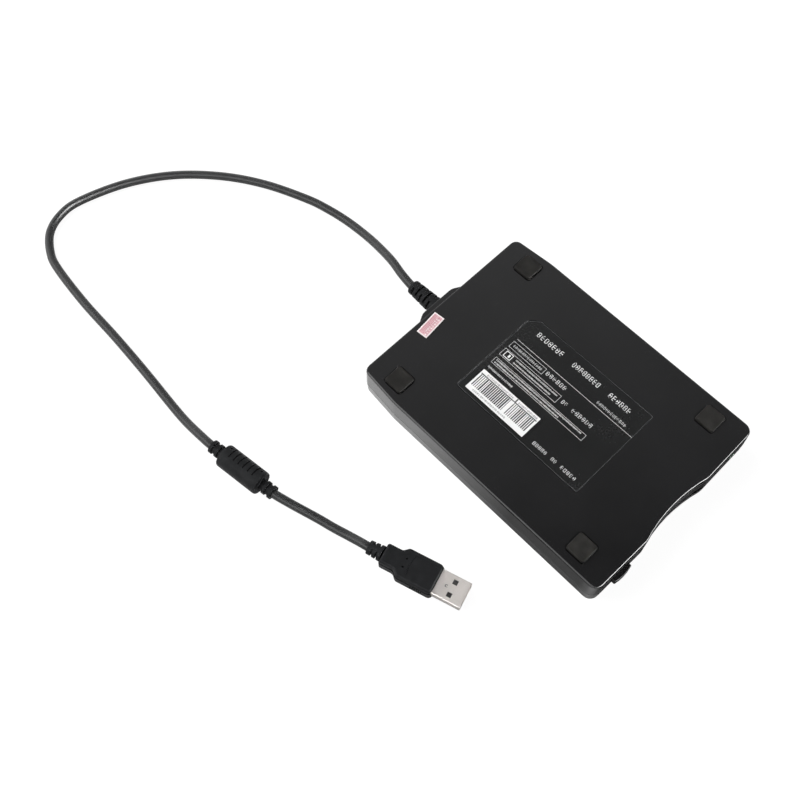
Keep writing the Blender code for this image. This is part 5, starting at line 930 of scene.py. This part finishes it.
def chip_legs(name, z, chips, parts):
    """Legs on two sides of each chip and rows of small soldered parts on a board."""
    made = []
    for x, y, width, depth in chips:
        count = max(3, int(depth / LEG_PITCH))
        first = y - (count - 1) * LEG_PITCH / 2
        for side in (-1, 1):
            made.append(block_row("legs", (x + side * (width / 2 + 0.3), first, z - 0.08),
                                  LEG_PITCH, count, (0.6, 0.28, 0.16), GROUND_STEEL))
    for x, y, count in parts:
        made.append(block_row("small_parts", (x, y, z - 0.2), PART_PITCH, count,
                              (1.6, 0.8, 0.4), GREY_MOULDING, (0.6, 0.7, 0.8)))
        for side in (-1, 1):
            made.append(block_row("solder_ends", (x + 0.75 * side, y, z - 0.16),
                                  PART_PITCH, count, (0.3, 0.85, 0.32), GROUND_STEEL))
    added(joined(name, made), "case")


windings()
thread()
chip_legs("drive_board_parts", 13.5, ((25.17, 18.0, 10.17, 10.0), (25.17, 30.0, 5.08, 5.0),
                                      (39.4, 18.0, 5.08, 3.33)),
          ((18.0, 26.0, 7), (32.5, 12.5, 8), (20.5, 38.0, 6), (30.5, 38.0, 5)))
chip_legs("usb_board_parts", 9.4, ((0.0, 64.7, 4.67, 4.67), (-16.0, 64.7, 2.33, 2.33)),
          ((-6.5, 62.8, 3), (8.5, 62.8, 3), (13.0, 62.8, 3), (-10.5, 62.8, 3)))


# Floor, sky and lamps

# How bright the floor shows itself, and how pale it is under the object's shadow
FLOOR_GLOW = 0.93
FLOOR_PALE = 0.14
FLOOR_REACH = 3.0
FLOOR_DROP = 0.1 * MM
SKY_TO_DULL = 0.35


def place_in(tree, output):
    """The X, Y and Z outputs of a place."""
    place = node(tree, "ShaderNodeTexCoord")
    split = node(tree, "ShaderNodeSeparateXYZ")
    tree.links.new(place.outputs[output], split.inputs[0])
    return split.outputs


def zones(tree, operation, at, *rows):
    """Soft-edged zones put together: axis, value before, value after, start and end of the edge."""
    return together(tree, operation, *[ranged(tree, at[axis], *row) for axis, *row in rows])


def floor():
    """A floor that looks white in the picture; where the object mirrors it or takes bounced light
    from it, its colour carries painted light and painted shadow: lighter to the rear and to the
    left, darker in front of the drive.
    """
    data = bpy.data.meshes.new("floor")
    data.from_pydata([(x * FLOOR_REACH, y * FLOOR_REACH, -FLOOR_DROP)
                      for x, y in ((-1, -1), (1, -1), (1, 1), (-1, 1))], [], [(0, 1, 2, 3)])
    made = bpy.data.objects.new("floor", data)
    SCENE.collection.objects.link(made)
    look = bpy.data.materials.new("floor")
    look.use_nodes = True
    tree = look.node_tree
    tree.nodes.clear()
    path = node(tree, "ShaderNodeLightPath").outputs
    at = place_in(tree, "Object")
    # Painted light and shade in the floor's colour: lighter towards the rear, at the front-left
    # corner and to the left of the drive; painted shadow in front of the drive
    light = zones(tree, "MAXIMUM", at, ("Y", 0.27, 1.06, -0.020, 0.040),
                  ("Y", 0.75, 0.0, -0.070, -0.056), ("X", 0.42, 0.0, -0.085, -0.070))
    painted_front_shadow = zones(tree, "MAXIMUM", at, ("Y", 0.12, 1.0, -0.076, -0.068),
                   ("X", 1.0, 0.0, -0.056, -0.044))
    shade = together(tree, "MULTIPLY", light, painted_front_shadow)
    met = node(tree, "ShaderNodeBsdfDiffuse")
    tree.links.new(shade, met.inputs["Color"])
    pale = node(tree, "ShaderNodeBsdfDiffuse")
    pale.inputs["Color"].default_value = (FLOOR_PALE, FLOOR_PALE, FLOOR_PALE, 1.0)
    glow = node(tree, "ShaderNodeEmission")
    glow.inputs["Strength"].default_value = FLOOR_GLOW
    white = node(tree, "ShaderNodeAddShader")
    mixed = node(tree, "ShaderNodeMixShader")
    out = node(tree, "ShaderNodeOutputMaterial")
    tree.links.new(pale.outputs[0], white.inputs[0])
    tree.links.new(glow.outputs[0], white.inputs[1])
    tree.links.new(together(tree, "MAXIMUM", path["Is Camera Ray"], path["Is Transmission Ray"]),
                   mixed.inputs[0])
    tree.links.new(met.outputs[0], mixed.inputs[1])
    tree.links.new(white.outputs[0], mixed.inputs[2])
    tree.links.new(mixed.outputs[0], out.inputs["Surface"])
    data.materials.append(look)


def sky():
    """A white sky, with soft panels in front, to the left and overhead for shiny surfaces."""
    world = bpy.data.worlds.new("studio")
    SCENE.world = world
    world.use_nodes = True
    tree = world.node_tree
    tree.nodes.clear()
    path = node(tree, "ShaderNodeLightPath").outputs
    way = place_in(tree, "Generated")
    front = zones(tree, "MULTIPLY", way, ("Y", 38.0, 0.0, -0.50, -0.40),
                  ("X", 0.0, 1.0, -0.30, 0.12), ("X", 1.0, 0.0, 0.46, 0.60),
                  ("Z", 0.0, 1.0, 0.42, 0.48), ("Z", 1.0, 0.0, 0.84, 0.90))
    left = zones(tree, "MULTIPLY", way, ("X", 3.5, 0.0, -0.36, -0.24),
                 ("Z", 0.0, 1.0, 0.34, 0.40), ("Z", 1.0, 0.0, 0.86, 0.93))
    above = zones(tree, "ADD", way, ("Y", 0.12, 0.66, 0.05, 0.50),
                  ("Y", 0.0, 1.20, 0.50, 0.80), ("X", 0.0, 0.20, 0.33, 0.46))
    even = shades(tree, path["Is Diffuse Ray"], (1.0, 1.0, 1.0),
                  (SKY_TO_DULL, SKY_TO_DULL, SKY_TO_DULL))
    seen = node(tree, "ShaderNodeMix", data_type="RGBA")
    tree.links.new(path["Is Glossy Ray"], seen.inputs[MIX_FACTOR])
    tree.links.new(even, seen.inputs[MIX_FIRST])
    tree.links.new(together(tree, "MAXIMUM", front, left, above), seen.inputs[MIX_SECOND])
    back = node(tree, "ShaderNodeBackground")
    out = node(tree, "ShaderNodeOutputWorld")
    tree.links.new(seen.outputs[MIX_RESULT], back.inputs["Color"])
    tree.links.new(back.outputs[0], out.inputs["Surface"])


def lamp(name, at, towards, width, depth, watts):
    """A soft lamp that lights the object but doesn't mirror itself in it."""
    data = bpy.data.lights.new(name, "AREA")
    data.shape = "RECTANGLE"
    data.size = width
    data.size_y = depth
    data.energy = watts
    made = bpy.data.objects.new(name, data)
    made.location = at
    made.rotation_euler = (Vector(towards) - Vector(at)).to_track_quat("-Z", "Y").to_euler()
    made.visible_glossy = False
    SCENE.collection.objects.link(made)


floor()
sky()
lamp("rear_softbox", (-0.45, 0.95, 0.80), (-0.03, 0.02, 0.0), 1.6, 1.1, 27.0)
lamp("front_softbox", (-0.9, -0.9, 0.7), (-0.05, 0.0, 0.0), 0.7, 0.5, 1.5)
SCENE.view_settings.view_transform = "Standard"
